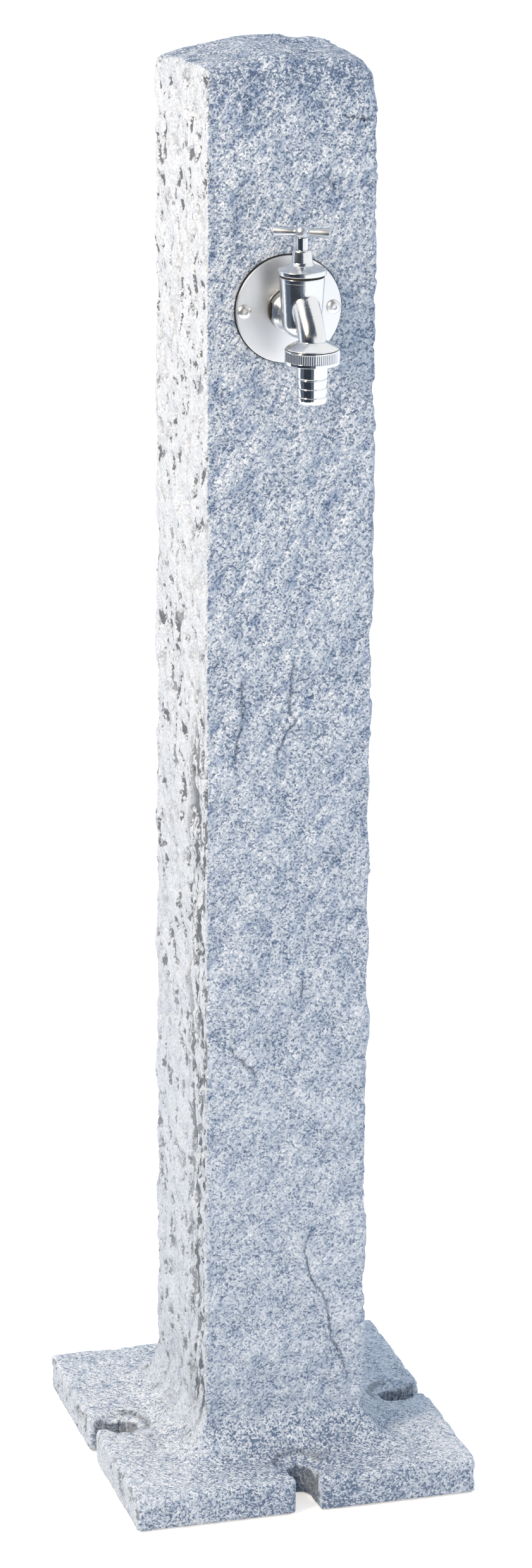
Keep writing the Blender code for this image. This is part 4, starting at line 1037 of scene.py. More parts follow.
def hewn_nodes():
    """Geometry nodes that roughen the moulded form: soft crown edges, chips, pits and cracks."""
    sockets = {"Cracks": "Object"}
    for name in (*SKIN_SIZES, "seat_centre", "seat_radius"):
        sockets[label(name)] = "Float"
    sockets |= {"Tap axis": "Vector", "Front left edge": "Vector", "Material": "Material"}
    tree, size, result = node_group("hewn_surface", sockets)
    position = field(tree, "GeometryNodeInputPosition")
    normal = field(tree, "GeometryNodeInputNormal")
    x, y, z = position.parts()
    out_x, out_y, out_z = normal.parts()

    # The crown's front and right edges are worn round
    worn = z.ease(*WEAR_HEIGHT) * x.ease(*WEAR_ACROSS) * y.ease(*WEAR_ALONG)
    inputs = {"Value": position, "Iterations": WEAR_ROUNDS, "Weight": worn}
    eased = field(tree, "GeometryNodeBlurAttribute", inputs, data_type="FLOAT_VECTOR")
    form = field(tree, "GeometryNodeSetPosition", {"Geometry": size["Geometry"], "Position": eased})

    # Masks: the front and side faces, the flat round the tap, the straight front left edge
    front = out_y.ease(*FACING_BACK)
    side = abs(out_x).ease(*FACING)
    from_tap = position.away(size["Tap axis"], (1, 0, 1))
    clear = from_tap.ease(*TAP_CLEAR).most(1.0 - front)
    from_edge = position.away(size["Front left edge"], (1, 1, 0))
    straight = from_edge.ease(*STRAIGHT_EDGE, EDGE_CHIPS)

    # Dents and chips all over
    dent = position.noise(size["Dent pitch"], 1).span(*NOISE_RANGE, -1, 1) * size["Dent depth"]
    chip = position.noise(size["Chip pitch"], 3, 0.62).span(*CHIP_NOISE, -1, 1)
    chip = dent.plus(chip, size["Chip depth"]) * straight

    # Upright pits in the side faces, and long fissures low on them, close behind their front edge
    upright = position.vector("MULTIPLY", PIT_STRETCH)
    pit = upright.noise(size["Pit width"], 4, 0.62).ease(*PIT_FALL) * side
    drawn = position.vector("MULTIPLY", FISSURE_STRETCH)
    fissured = side * y.ease(*FISSURE_FRONT) * y.ease(*FISSURE_BACK)
    fissured = fissured * z.ease(*FISSURE_FOOT) * z.ease(*FISSURE_TOP)
    fissure = drawn.noise(size["Pit width"], 3, 0.6).ease(*FISSURE_FALL) * fissured

    # The front lies back in patches just behind its left edge, which stands as a thin bead
    lip = from_edge.ease(*LIP_START) * from_edge.ease(*LIP_END)
    lip = lip * position.noise(LIP_PATCH, 2, 0.6).ease(*LIP_NOISE) * front

    # Painted shade on the slot walls and at the rear of each seat, where they lie in shadow
    nearer, farther = abs(x).least(abs(y)), abs(x).most(abs(y))
    soiled = abs(out_z).span(*UPRIGHT) * z.span(*SLOT_SHADE_HEIGHT, 0.0, WALL_SHADE)
    soiled = soiled * (nearer.span(*SLOT_ACROSS) * farther.span(*SLOT_ALONG))
    inward = farther - size["Seat centre"]
    around = field(tree, "ShaderNodeCombineXYZ", {"X": nearer, "Y": inward}).length()
    ring = abs(around - size["Seat radius"]).ease(*SEAT_SHADE_BAND)
    soiled = soiled.most(ring * inward.ease(*SEAT_REAR, 0.0, REAR_SHADE))

    # Cracks in the front, with a ledge on their left
    lines = field(tree, "GeometryNodeObjectInfo", {"Object": size["Cracks"]}, "Geometry")
    ragged = position.noise(CRACK_RAGGED, 3, 0.7, "Color").vector("SUBTRACT", (0.5, 0.5, 0.5))
    astray = position.vector("ADD", ragged.vector("MULTIPLY", (CRACK_STRAY, 0, CRACK_STRAY)))
    inputs = {0: lines, "Sample Position": astray}
    nearest = add(tree, "GeometryNodeProximity", inputs, target_element="EDGES").outputs
    apart = Field(tree, nearest["Distance"])
    crack = apart.ease(0.0, size["Crack width"], 1.0, 0.0) * front
    line_x = Field(tree, nearest["Position"]).parts()[0]
    step = apart.ease(0.0, LEDGE_REACH, 1.0, 0.0) * x.math("LESS_THAN", line_x) * front

    # All of it, never proud of the base's sides or of the crown, and none on the underside
    push = chip.plus(step, size["Ledge"])
    cuts = {"Pit depth": pit, "Crack depth": crack, "Fissure depth": fissure, "Lip": lip}
    for depth, share in cuts.items():
        push = push - share * size[depth]
    on_crown = z.ease(*CROWN_CHIPS) * out_z.ease(*CROWN_FACING)
    push = push + chip * on_crown - on_crown * size["Crown chip"]
    push = push.most(size["Deepest"]) * clear
    room = z.ease(*PROUD_HEIGHT, 0.0, SPARE) * out_z.ease(*LEVEL, 1.0, 0.0)
    push = push.least(room) * out_z.ease(*UNDERSIDE)
    for name, value in zip(SKIN_MARKS, (side, crack, fissured, soiled)):
        form = field(tree, "GeometryNodeStoreNamedAttribute", {0: form, "Name": name, "Value": value})
    move = field(tree, "ShaderNodeVectorMath", {0: normal, "Scale": push}, operation="SCALE")
    form = field(tree, "GeometryNodeSetPosition", {"Geometry": form, "Offset": move})
    return closed_tree(form, size, result)


def hollow_tools(post, slots):
    """What is cut out of the skin: the hollow, the supply's recess and hole, and the holes for the tap."""
    riser = Matrix.Translation((TAP_X, RISER_Y, 0))
    roof = slots.recess_depth + post.wall
    top = crown_lowest(post) - post.wall
    size = (post.width - 2 * post.wall, post.depth - 2 * post.wall, top - post.wall)
    hollow = solid("hollow", block(size, (0, 0, (top + post.wall) / 2)))
    boss = solid("boss", bar(slots.recess_radius + post.wall, 0, roof, riser))
    combine(hollow, boss)
    back = -post.wall - CUT_OVER
    bores = [
        bar(slots.recess_radius, -CUT_OVER, slots.recess_depth, riser, FINE_STEPS),
        bar(slots.socket_hole, slots.recess_depth - CUT_OVER, roof + CUT_OVER, riser),
        bar(slots.wall_hole, back, CUT_OVER, inlet_place(post)),
    ]
    for x in SCREW_PLACES:
        bores.append(bar(slots.insert_hole, back, CUT_OVER, inlet_place(post, x)))
    return [settled(hollow, "hollow")] + [solid("bore", bore) for bore in bores]


class WATERPOST_OT_post(bpy.types.Operator):
    """Makes the hewn granite-look post"""

    bl_idname = "water_post.post"
    bl_label = "Granite-look post"

    def execute(self, context):
        post = context.scene.water_post_post
        slots = context.scene.water_post_slots
        form = moulded_form(post, slots)
        refine_cracks(form, 3 * post.crack_width, CRACK_CUTS)
        cracks = crack_lines(post)
        values = {label(name): getattr(post, name) for name in SKIN_SIZES}
        values |= {
            "Cracks": cracks,
            "Deepest": -post.deepest,
            "Seat centre": (BASE_WIDTH + BASE_DEPTH) / 4 - slots.inset,
            "Seat radius": slots.seat_radius,
            "Tap axis": (TAP_X, 0, TAP_Z),
            "Front left edge": (-post.width / 2, -post.depth / 2, 0),
            "Material": FINISHES["granite"],
        }
        form = run_nodes(form, hewn_nodes(), values, "hewn_skin")
        bpy.data.objects.remove(cracks, do_unlink=True)
        form.data.calc_loop_triangles()
        thin = form.modifiers.new("Thin", "DECIMATE")
        thin.ratio = min(1, post.triangles / len(form.data.loop_triangles))
        form = settled(form, "hewn_skin")
        for tool in hollow_tools(post, slots):
            combine(form, tool, solver="MANIFOLD")
        form = settled(form, "granite_post")
        finished(form, "granite", "post", ["post_shell"], sharp=STONE_SHARP)
        return {"FINISHED"}


# Rosette

SCREW_HEAD_RADIUS = 0.0047
SCREW_HEAD_HEIGHT = 0.0026
SCREW_RADIUS = 0.0024
SCREW_LENGTH = 0.011
SCREW_KEY = 0.003  # across the flats of the socket
SCREW_KEY_DEPTH = 0.0014
KEY_SIDES = 6
HEAD_TOP = 80  # degrees up the head's dome where it flattens
HEAD_STEPS = 10
SCREW_SHARP = 30
PLATE_HOLE = 0.0108
PLATE_BACK = 0.0018
PLATE_FRONT = 0.0038
PLATE_RIM = 0.0005
# the black seal stands this far past the plate's rim, as a painted shadow line round the plate
SEAL_SHADOW_LINE = 0.0006


def screw_nodes():
    """Geometry nodes that set a screw at each end of a line."""
    sockets = {"Screw": "Object", "Start": "Vector", "Spacing": "Vector", "Material": "Material"}
    tree, size, result = node_group("rosette_screws", sockets)
    line = {"Count": 2, "Start Location": size["Start"], "Offset": size["Spacing"]}
    ends = field(tree, "GeometryNodeMeshLine", line)
    screw = field(tree, "GeometryNodeObjectInfo", {"Object": size["Screw"]}, "Geometry")
    both = field(tree, "GeometryNodeInstanceOnPoints", {"Points": ends, "Instance": screw})
    return closed_tree(both, size, result)


def button_screw():
    """A button-head socket screw that points out of the post, its seat at the origin."""
    dome = arc((0, 0), 1, HEAD_TOP, 0, HEAD_STEPS)
    head = [(SCREW_HEAD_RADIUS * a, SCREW_HEAD_HEIGHT * b) for a, b in dome]
    profile = [(0, SCREW_HEAD_HEIGHT)] + head
    profile += [(SCREW_RADIUS, 0), (SCREW_RADIUS, -SCREW_LENGTH), (0, -SCREW_LENGTH)]
    turn = Matrix.Rotation(QUARTER, 4, "X")
    screw = solid("button_screw", turned(profile, turn, BORE_STEPS))
    flats = SCREW_KEY / 2 / math.cos(math.pi / KEY_SIDES)
    low = SCREW_HEAD_HEIGHT - SCREW_KEY_DEPTH
    combine(screw, solid("key", bar(flats, low, SCREW_HEAD_HEIGHT + CUT_OVER, turn, KEY_SIDES)))
    return settled(screw, "button_screw")


class WATERPOST_OT_rosette(bpy.types.Operator):
    """Makes the round wall plate, its seal and its two screws"""

    bl_idname = "water_post.rosette"
    bl_label = "Rosette, seal and screws"

    def execute(self, context):
        post = context.scene.water_post_post
        rim = PLATE_RADIUS - PLATE_RIM
        profile = [(rim, PLATE_FRONT)]
        profile += arc((rim, PLATE_FRONT - PLATE_RIM), PLATE_RIM, 90, 0, 4)[1:]
        profile += [(PLATE_RADIUS, PLATE_BACK), (PLATE_HOLE, PLATE_BACK), (PLATE_HOLE, PLATE_FRONT)]
        plate = solid("plate", turned(profile, inlet_place(post), 2 * FINE_STEPS, ring=True))
        back, front = (-post.depth / 2 - corner.y for corner in reversed(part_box("rosette_gasket")))
        # The seal's rim stands proud of the plate as a painted shadow line
        edge = PLATE_RADIUS + SEAL_SHADOW_LINE
        inner = context.scene.water_post_slots.wall_hole
        profile = [(edge, front), (edge, back), (inner, back), (inner, front)]
        gasket = solid("gasket", turned(profile, inlet_place(post), 2 * FINE_STEPS, ring=True))
        for x in SCREW_PLACES:
            for piece in (plate, gasket):
                hole = bar(SCREW_RADIUS + FIT_GAP, -CUT_OVER, PLATE_FRONT + CUT_OVER, inlet_place(post, x))
                combine(piece, solid("screw_hole", hole))
        plate = settled(plate, "rosette")
        finished(plate, "steel", "post", ["rosette_plate"])
        gasket = settled(gasket, "rosette_seal")
        finished(gasket, "rubber", "post", ["rosette_gasket"])
        screw = button_screw()
        seat = PLATE_FRONT + FIT_GAP
        values = {
            "Screw": screw,
            "Start": inlet_place(post, SCREW_PLACES[0]) @ Vector((0, 0, seat)),
            "Spacing": (SCREW_SPACING, 0, 0),
            "Material": FINISHES["steel"],
        }
        screws = show("screws", bpy.data.meshes.new("screws"))
        screws = run_nodes(screws, screw_nodes(), values, "rosette_screws")
        bpy.data.objects.remove(screw, do_unlink=True)
        nodes = ["rosette_screw_left", "rosette_screw_right"]
        finished(screws, "steel", "post", nodes, sharp=SCREW_SHARP)
        return {"FINISHED"}


# Tap

COLLAR_BACK = 0.0054
COLLAR_FRONT = 0.0129
COLLAR_FLAT = 0.0014  # depth of the spanner flats
COLLAR_EDGE = 0.0007
NECK_START = 0.0169
NECK_RADIUS = 0.0112
INLET_THREAD = 0.0105
INLET_END = -0.018
BARREL_RIM = 0.003
BARREL_WAIST_HEIGHT = -0.002
BARREL_BOTTOM = -0.0128
BARREL_STEPS = 16
SPOUT_ROOT = 0.017
SPOUT_END = -0.011
SPOUT_LEAD_OUT = 0.011
SPOUT_LEAD_DOWN = 0.008
SPOUT_SWELL = 0.00065
SPOUT_STEPS = 40
SPOUT_LOOK = 0.01  # share of the spout over which its direction is read
FLARE_TOP = -0.0086
FLARE_NECK = 0.0090
FLARE_BOTTOM = -0.0133
FLARE_FOOT = -0.0139
UNION_THREAD = 0.0132
UNION_THREAD_END = -0.0179
CHAMBER_RADIUS = 0.0106
VALVE_SEAT = 0.008
LOWER_CHAMBER_RADIUS = 0.0062
LOWER_CHAMBER_TOP = 0.005
LOWER_CHAMBER_BOTTOM = -0.007
SEAT_HOLE = 0.0046
INLET_BORE = 0.0055
SPOUT_BORE = 0.0045
OUTLET_BORE = 0.0065
NECK_LAP = 0.002  # how far the neck runs into the collar
CONE_LAP = 0.001
CAST_EDGE = 0.0004
CAST_SHARP = 35
TURNED_EDGE = 0.0003
CAST_EASE = 14  # rounds of easing that blend the barrel into the spout


def spout_point(tap, share):
    """(reach, height) of the spout's middle line."""
    start = Vector((tap.barrel_reach, SPOUT_ROOT))
    end = Vector((tap.spout_reach, SPOUT_END))
    lead_out = start + Vector((SPOUT_LEAD_OUT, -SPOUT_LEAD_DOWN))
    lead_in = end + Vector((0, SPOUT_LEAD_DOWN))
    rest = 1 - share
    return rest**3 * start + 3 * rest**2 * share * lead_out + 3 * rest * share**2 * lead_in + share**3 * end


def spout_tube(post, tap, root, tip, steps=FINE_STEPS):
    """A round tube along the spout's middle line."""
    bm = bmesh.new()
    rows = []
    for i in range(SPOUT_STEPS + 1):
        share = i / SPOUT_STEPS
        middle = spout_point(tap, share)
        ahead = spout_point(tap, min(share + SPOUT_LOOK, 1)) - spout_point(tap, max(share - SPOUT_LOOK, 0))
        ahead.normalize()
        radius = root + (tip - root) * share
        row = []
        for k in range(steps):
            angle = 2 * math.pi * k / steps
            out = Vector((-ahead.y, ahead.x)) * radius * math.sin(angle)
            row.append(bm.verts.new((radius * math.cos(angle), middle.y + out.y, middle.x + out.x)))
        rows.append(row)
    bridge(bm, zip(rows, rows[1:]), steps)
    bm.faces.new(rows[0])
    bm.faces.new(rows[-1])
    bmesh.ops.transform(bm, matrix=inlet_place(post), verts=bm.verts)
    return bm


def cast_core(post, tap):
    """Barrel, neck and spout, blended as a casting is."""
    height = BARREL_WAIST_HEIGHT - BARREL_BOTTOM
    top = tap.barrel_top - BARREL_RIM / 2
    barrel = [(0, top), (tap.barrel_radius, top), (tap.barrel_radius, tap.barrel_top - BARREL_RIM)]
    for a, b in arc((0, 0), 1, 0, -90, BARREL_STEPS)[:-1]:
        barrel.append((tap.barrel_waist * a, BARREL_WAIST_HEIGHT + height * b))
    barrel.append((0, BARREL_BOTTOM))
    core = solid("cast_core", turned(barrel, spindle_place(post, tap)))
    neck = bar(NECK_RADIUS, NECK_START - NECK_LAP, tap.barrel_reach, inlet_place(post), FINE_STEPS)
    combine(core, solid("neck", neck), "UNION")
    spout = spout_tube(post, tap, tap.spout_radius + SPOUT_SWELL, tap.spout_radius)
    combine(core, solid("spout", spout), "UNION")
    gridded(core, tap.cast_grid)
    ease = core.modifiers.new("Ease", "SMOOTH")
    ease.factor = 0.5
    ease.iterations = CAST_EASE
    return settled(core, "cast_core")


def collar(post, tap):
    """The turned inlet collar with its two spanner flats, its cone and its thread."""
    radius = tap.collar_radius
    outside = [
        (0, NECK_START + CONE_LAP),
        (NECK_RADIUS, NECK_START + CONE_LAP),
        (NECK_RADIUS, NECK_START),
        (radius, COLLAR_FRONT),
        (radius, COLLAR_BACK),
        (INLET_THREAD, COLLAR_BACK),
        (INLET_THREAD, INLET_END),
        (0, INLET_END),
    ]
    stem = lathe("collar", outside, COLLAR_EDGE, inlet_place(post))
    depth = COLLAR_FRONT - COLLAR_BACK
    middle = (COLLAR_FRONT + COLLAR_BACK) / 2
    for side in (-1, 1):
        flat = radius - COLLAR_FLAT
        centre = inlet_place(post) @ Vector((side * (flat + radius / 2), 0, middle))
        combine(stem, solid("flat", block((radius, depth, 2 * radius), centre)))
    return settled(stem, "collar")


class WATERPOST_OT_tap(bpy.types.Operator):
    """Makes the cast tap body with its turned collar, rim and flare"""

    bl_idname = "water_post.tap"
    bl_label = "Tap body"

    def execute(self, context):
        post = context.scene.water_post_post
        tap = context.scene.water_post_tap
        inlet, spindle, spout = inlet_place(post), spindle_place(post, tap), spout_place(post, tap)
        body = cast_core(post, tap)
        combine(body, collar(post, tap), "UNION", "MANIFOLD")
        radius, rim_top = tap.barrel_radius, tap.barrel_top
        rim_low = rim_top - BARREL_RIM
        rim = [(0, rim_top), (radius, rim_top), (radius, rim_low), (0, rim_low)]
        combine(body, lathe("rim", rim, CAST_EDGE, spindle), "UNION", "MANIFOLD")
        flare = [
            (0, FLARE_TOP),
            (FLARE_NECK, FLARE_TOP),
            (tap.flare_radius, FLARE_BOTTOM),
            (tap.flare_radius, FLARE_FOOT),
            (UNION_THREAD, FLARE_FOOT),
            (UNION_THREAD, UNION_THREAD_END),
            (0, UNION_THREAD_END),
        ]
        combine(body, lathe("flare", flare, CAST_EDGE, spout), "UNION", "MANIFOLD")
        top = tap.barrel_top + CUT_OVER
        bores = [
            bar(CHAMBER_RADIUS, VALVE_SEAT, top, spindle, FINE_STEPS),
            bar(LOWER_CHAMBER_RADIUS, LOWER_CHAMBER_BOTTOM, LOWER_CHAMBER_TOP, spindle),
            bar(SEAT_HOLE, LOWER_CHAMBER_BOTTOM + CUT_OVER, VALVE_SEAT + CUT_OVER / 4, spindle),
            bar(INLET_BORE, INLET_END - CUT_OVER, tap.barrel_reach, inlet),
            spout_tube(post, tap, SPOUT_BORE, SPOUT_BORE, BORE_STEPS),
            bar(OUTLET_BORE, UNION_THREAD_END - CUT_OVER, FLARE_FOOT, spout),
        ]
        for i, bore in enumerate(bores):
            combine(body, solid(f"bore_{i}", bore), "DIFFERENCE", "MANIFOLD")
        body = settled(body, "tap_casting")
        finished(body, "cast", "post", ["tap_body"], sharp=CAST_SHARP)
        return {"FINISHED"}


# Headwork

BONNET_SEAT = 0.0298
FLANGE_TOP = 0.0328
GLAND_TOP = 0.0458
GLAND_CHAMFER = 0.0009
SHANK_BOTTOM = 0.0185
SPINDLE_BORE = 0.0058
STEM_BORE = 0.00405
POCKET_RADIUS = 0.0052
POCKET_BOTTOM = 0.0380
POCKET_TOP = 0.0420
STEM_TOP = 0.0537
SPIGOT_RADIUS = 0.0022
SPIGOT_TOP = 0.0569
THREAD_RADIUS = 0.0055
THREAD_TOP = 0.0330
SPINDLE_BOTTOM = 0.0134
JUMPER_SOCKET = 0.0029
JUMPER_TOP = 0.0194
BONNET_EDGE = 0.0005
GLAND_TAPER = 0.0006  # how much wider the gland is at its foot
GLAND_FOOT = 0.0376
CONE_RADIUS = 0.0082
CONE_HEIGHT = 0.0358
INLET_WASHER = (0.0041, 0.0051)
BONNET_WASHER = (0.0285, 0.0295)
ARM_SPIGOT = 0.0016
ARM_SPIGOT_END = 0.0032
ARM_SINK = 0.0004  # how far an arm's root sinks into the ball
ARM_STEP = 0.0005
ARM_RING_TOP = 0.0012  # the small ring where an arm meets the ball, from the arm's root
ARM_RING_EDGE = 0.00096
BALL_TOP = 86  # degrees up the ball where its top flattens
BALL_STEPS = 32


class WATERPOST_OT_headwork(bpy.types.Operator):
    """Makes the bonnet, the spindle, the T-bar and the two fibre washers that show"""

    bl_idname = "water_post.headwork"
    bl_label = "Headwork"

    def execute(self, context):
        post = context.scene.water_post_post
        tap = context.scene.water_post_tap
        spindle = spindle_place(post, tap)
        shank = CHAMBER_RADIUS - FIT_GAP
        bonnet = [
            (STEM_BORE, GLAND_TOP),
            (tap.gland_radius - GLAND_CHAMFER, GLAND_TOP),
            (tap.gland_radius, GLAND_TOP - GLAND_CHAMFER),
            (tap.gland_radius + GLAND_TAPER, GLAND_FOOT),
            (CONE_RADIUS, CONE_HEIGHT),
            (tap.bonnet_radius, FLANGE_TOP),
            (tap.bonnet_radius, BONNET_SEAT),
            (shank, BONNET_SEAT),
            (shank, SHANK_BOTTOM),
            (SPINDLE_BORE, SHANK_BOTTOM),
            (SPINDLE_BORE, POCKET_BOTTOM),
            (POCKET_RADIUS, POCKET_BOTTOM),
            (POCKET_RADIUS, POCKET_TOP),
            (STEM_BORE, POCKET_TOP),
        ]
        bonnet = lathe("bonnet_turned", bonnet, BONNET_EDGE, spindle, ring=True)
        finished(bonnet, "cast", "post", ["bonnet"])
        stem = [
            (0, SPIGOT_TOP),
            (SPIGOT_RADIUS, SPIGOT_TOP),
            (SPIGOT_RADIUS, STEM_TOP),
            (tap.stem_radius, STEM_TOP),
            (tap.stem_radius, THREAD_TOP),
            (THREAD_RADIUS, THREAD_TOP),
            (THREAD_RADIUS, SPINDLE_BOTTOM),
            (JUMPER_SOCKET, SPINDLE_BOTTOM),
            (JUMPER_SOCKET, JUMPER_TOP),
            (0, JUMPER_TOP),
        ]
        stem = lathe("spindle_turned", stem, TURNED_EDGE, spindle)
        finished(stem, "chrome", "handle", ["spindle"])
        self.t_bar(tap, spindle)
        washers = joined(
            [
                washer(tap.collar_radius, INLET_THREAD + FIT_GAP, INLET_WASHER, inlet_place(post)),
                washer(tap.barrel_radius, CHAMBER_RADIUS, BONNET_WASHER, spindle),
            ]
        )
        washers = solid("fibre_washers", washers)
        finished(washers, "fibre", "post", ["inlet_gasket", "bonnet_gasket"])
        return {"FINISHED"}

    def t_bar(self, tap, spindle):
        """Ball and two tapered arms with a small ring at their roots."""
        ball_flat = math.sqrt(tap.ball_radius**2 - tap.stem_radius**2)
        centre = STEM_TOP + FIT_GAP + ball_flat
        lowest = -math.degrees(math.asin(ball_flat / tap.ball_radius))
        hole = SPIGOT_RADIUS + FIT_GAP
        hole_top = SPIGOT_TOP + FIT_GAP - centre
        ball = [(0, tap.ball_radius)] + arc((0, 0), tap.ball_radius, BALL_TOP, lowest, BALL_STEPS)
        ball += [(hole, -ball_flat), (hole, hole_top), (0, hole_top)]
        turn = spindle @ Matrix.Translation((0, 0, centre)) @ Matrix.Rotation(tap.bar_turn, 4, "Z")
        hub = solid("t_bar", turned(ball, turn))
        root = math.sqrt(tap.ball_radius**2 - tap.bar_root**2) - ARM_SINK
        tip = tap.bar_length / 2
        ring = tap.bar_root + ARM_STEP
        arm = [
            (0, tip),
            (tap.bar_end, tip),
            (tap.bar_root, root + ARM_RING_TOP),
            (ring, root + ARM_RING_EDGE),
            (ring, root),
            (ARM_SPIGOT, root),
            (ARM_SPIGOT, ARM_SPIGOT_END),
            (0, ARM_SPIGOT_END),
        ]
        for side in (-1, 1):
            place = turn @ Matrix.Rotation(side * QUARTER, 4, "Y")
            combine(hub, lathe("arm", arm, CAST_EDGE, place), "UNION", "MANIFOLD")
        hub = settled(hub, "t_bar")
        nodes = ["toggle_hub", "toggle_arm_left", "toggle_arm_right"]
        finished(hub, "satin", "handle", nodes)


def washer(outer, inner, ends, place):
    bottom, top = ends
    profile = [(outer, top), (outer, bottom), (inner, bottom), (inner, top)]
    return turned(profile, place, FINE_STEPS, ring=True)


# Union

NUT_TOP = -0.0142
NUT_BOTTOM = -0.0234
NUT_LIP_TOP = -0.0215
RIB_SIDES = 10
KNURL_TOP = -0.0151
KNURL_BOTTOM = -0.0212
TAIL_TOP = -0.0198
TAIL_NECK = 0.0121
TAIL_FLANGE = 0.0014
TAIL_BORE = 0.0072
TAIL_GROOVE = 0.0008
BARB_PITCH = 0.0058
BARB_DROP = 0.0008
BARB_COUNT = 3
TAIL_END = 0.0044


def knurl_nodes():
    """Geometry nodes that set upright ribs round a nut."""
    sockets = {"Ribs": "Int", "Circle": "Float", "Rib radius": "Float", "Rib length": "Float"}
    sockets |= {"Centre": "Vector", "Material": "Material"}
    tree, size, result = node_group("straight_knurl", sockets)
    ring = field(tree, "GeometryNodeMeshCircle", {"Vertices": size["Ribs"], "Radius": size["Circle"]})
    ring = field(tree, "GeometryNodeSetPosition", {"Geometry": ring, "Offset": size["Centre"]})
    rib = {"Vertices": RIB_SIDES, "Radius": size["Rib radius"], "Depth": size["Rib length"]}
    rib = field(tree, "GeometryNodeMeshCylinder", rib)
    ribs = field(tree, "GeometryNodeInstanceOnPoints", {"Points": ring, "Instance": rib})
    whole = add(tree, "GeometryNodeJoinGeometry", {0: ribs})
    feed(whole, {0: size["Geometry"]})
    return closed_tree(Field(tree, whole.outputs[0]), size, result)


class WATERPOST_OT_union(bpy.types.Operator):
    """Makes the knurled union nut and the hose tail"""

    bl_idname = "water_post.union"
    bl_label = "Union nut and hose tail"

    def execute(self, context):
        post = context.scene.water_post_post
        tap = context.scene.water_post_tap
        place = spout_place(post, tap)
        thread = UNION_THREAD + FIT_GAP
        lip = tap.tail_radius + FIT_GAP
        core = tap.nut_radius - tap.rib_radius
        nut = [
            (thread, NUT_TOP),
            (tap.nut_radius, NUT_TOP),
            (tap.nut_radius, KNURL_TOP),
            (core, KNURL_TOP),
            (core, KNURL_BOTTOM),
            (tap.nut_radius, KNURL_BOTTOM),
            (tap.nut_radius, NUT_BOTTOM),
            (lip, NUT_BOTTOM),
            (lip, NUT_LIP_TOP),
            (thread, NUT_LIP_TOP),
        ]
        nut = lathe("nut", nut, TURNED_EDGE, place, ring=True)
        values = {
            "Ribs": tap.rib_count,
            "Circle": core,
            "Rib radius": tap.rib_radius,
            "Rib length": KNURL_TOP - KNURL_BOTTOM,
            "Centre": place @ Vector((0, 0, (KNURL_TOP + KNURL_BOTTOM) / 2)),
            "Material": FINISHES["chrome"],
        }
        nut = run_nodes(nut, knurl_nodes(), values, "union_nut_knurled")
        finished(nut, "chrome", "nut", ["union_nut"])
        flange = UNION_THREAD - FIT_GAP
        neck_top = TAIL_TOP - TAIL_FLANGE
        barbs_top = neck_top - TAIL_NECK
        tail = [(TAIL_BORE, TAIL_TOP), (flange, TAIL_TOP), (flange, neck_top), (tap.tail_radius, neck_top)]
        tail += [(tap.tail_radius, barbs_top + TAIL_GROOVE), (tap.tail_radius - BARB_DROP, barbs_top)]
        for i in range(BARB_COUNT):
            top = barbs_top - i * BARB_PITCH
            drop = TAIL_END if i == BARB_COUNT - 1 else BARB_PITCH
            tail += [(tap.tail_radius, top - FIT_GAP), (tap.tail_radius - BARB_DROP, top - drop)]
        tail.append((TAIL_BORE, tail[-1][1]))
        tail = lathe("hose_tail_turned", tail, TURNED_EDGE, place, ring=True)
        finished(tail, "chrome", "tail", ["hose_tail"])
        return {"FINISHED"}


# Studio

SENSOR_WIDTH = 36  # mm
VIEW_END = 100
FLOOR_SIZE = 30
FLOOR_ROUGHNESS = 0.9
FLOOR_GLOSS = 0.1
FLOOR_DROP = 0.0004  # the floor lies this far below the base, so that the faces don't meet
KEY_PLACE = (-1.65, -0.74, 2.0)
KEY_AIM = (0, 0, 0.6)
KEY_SIZE = (0.7, 0.7)
FLAG_STEPS = 24
# Dark cards that only mirrors see: their lower and upper edge as (radius, height), their turns to the left
# of straight ahead in degrees, and their tone
FLAGS = {
    "grey_flag": ((1.3, 0.0), (1.3, 1.35), (2, 112), "#66707c"),
    "dark_flag": ((1.2, 0.0), (1.2, 1.25), (22, 76), "#333942"),
    "high_flag": ((1.6, 1.5), (0.3, 2.6), (-28, 62), "#485260"),
}


def seen_white(tree):
    """One where the camera, a mirror or glass looks, and nought where the object is lit."""
    path = add(tree, "ShaderNodeLightPath", {}).outputs
    rays = ("Camera", "Glossy", "Transmission")
    camera, mirror, glass = (Field(tree, path[f"Is {ray} Ray"]) for ray in rays)
    return camera.most(mirror).most(glass)


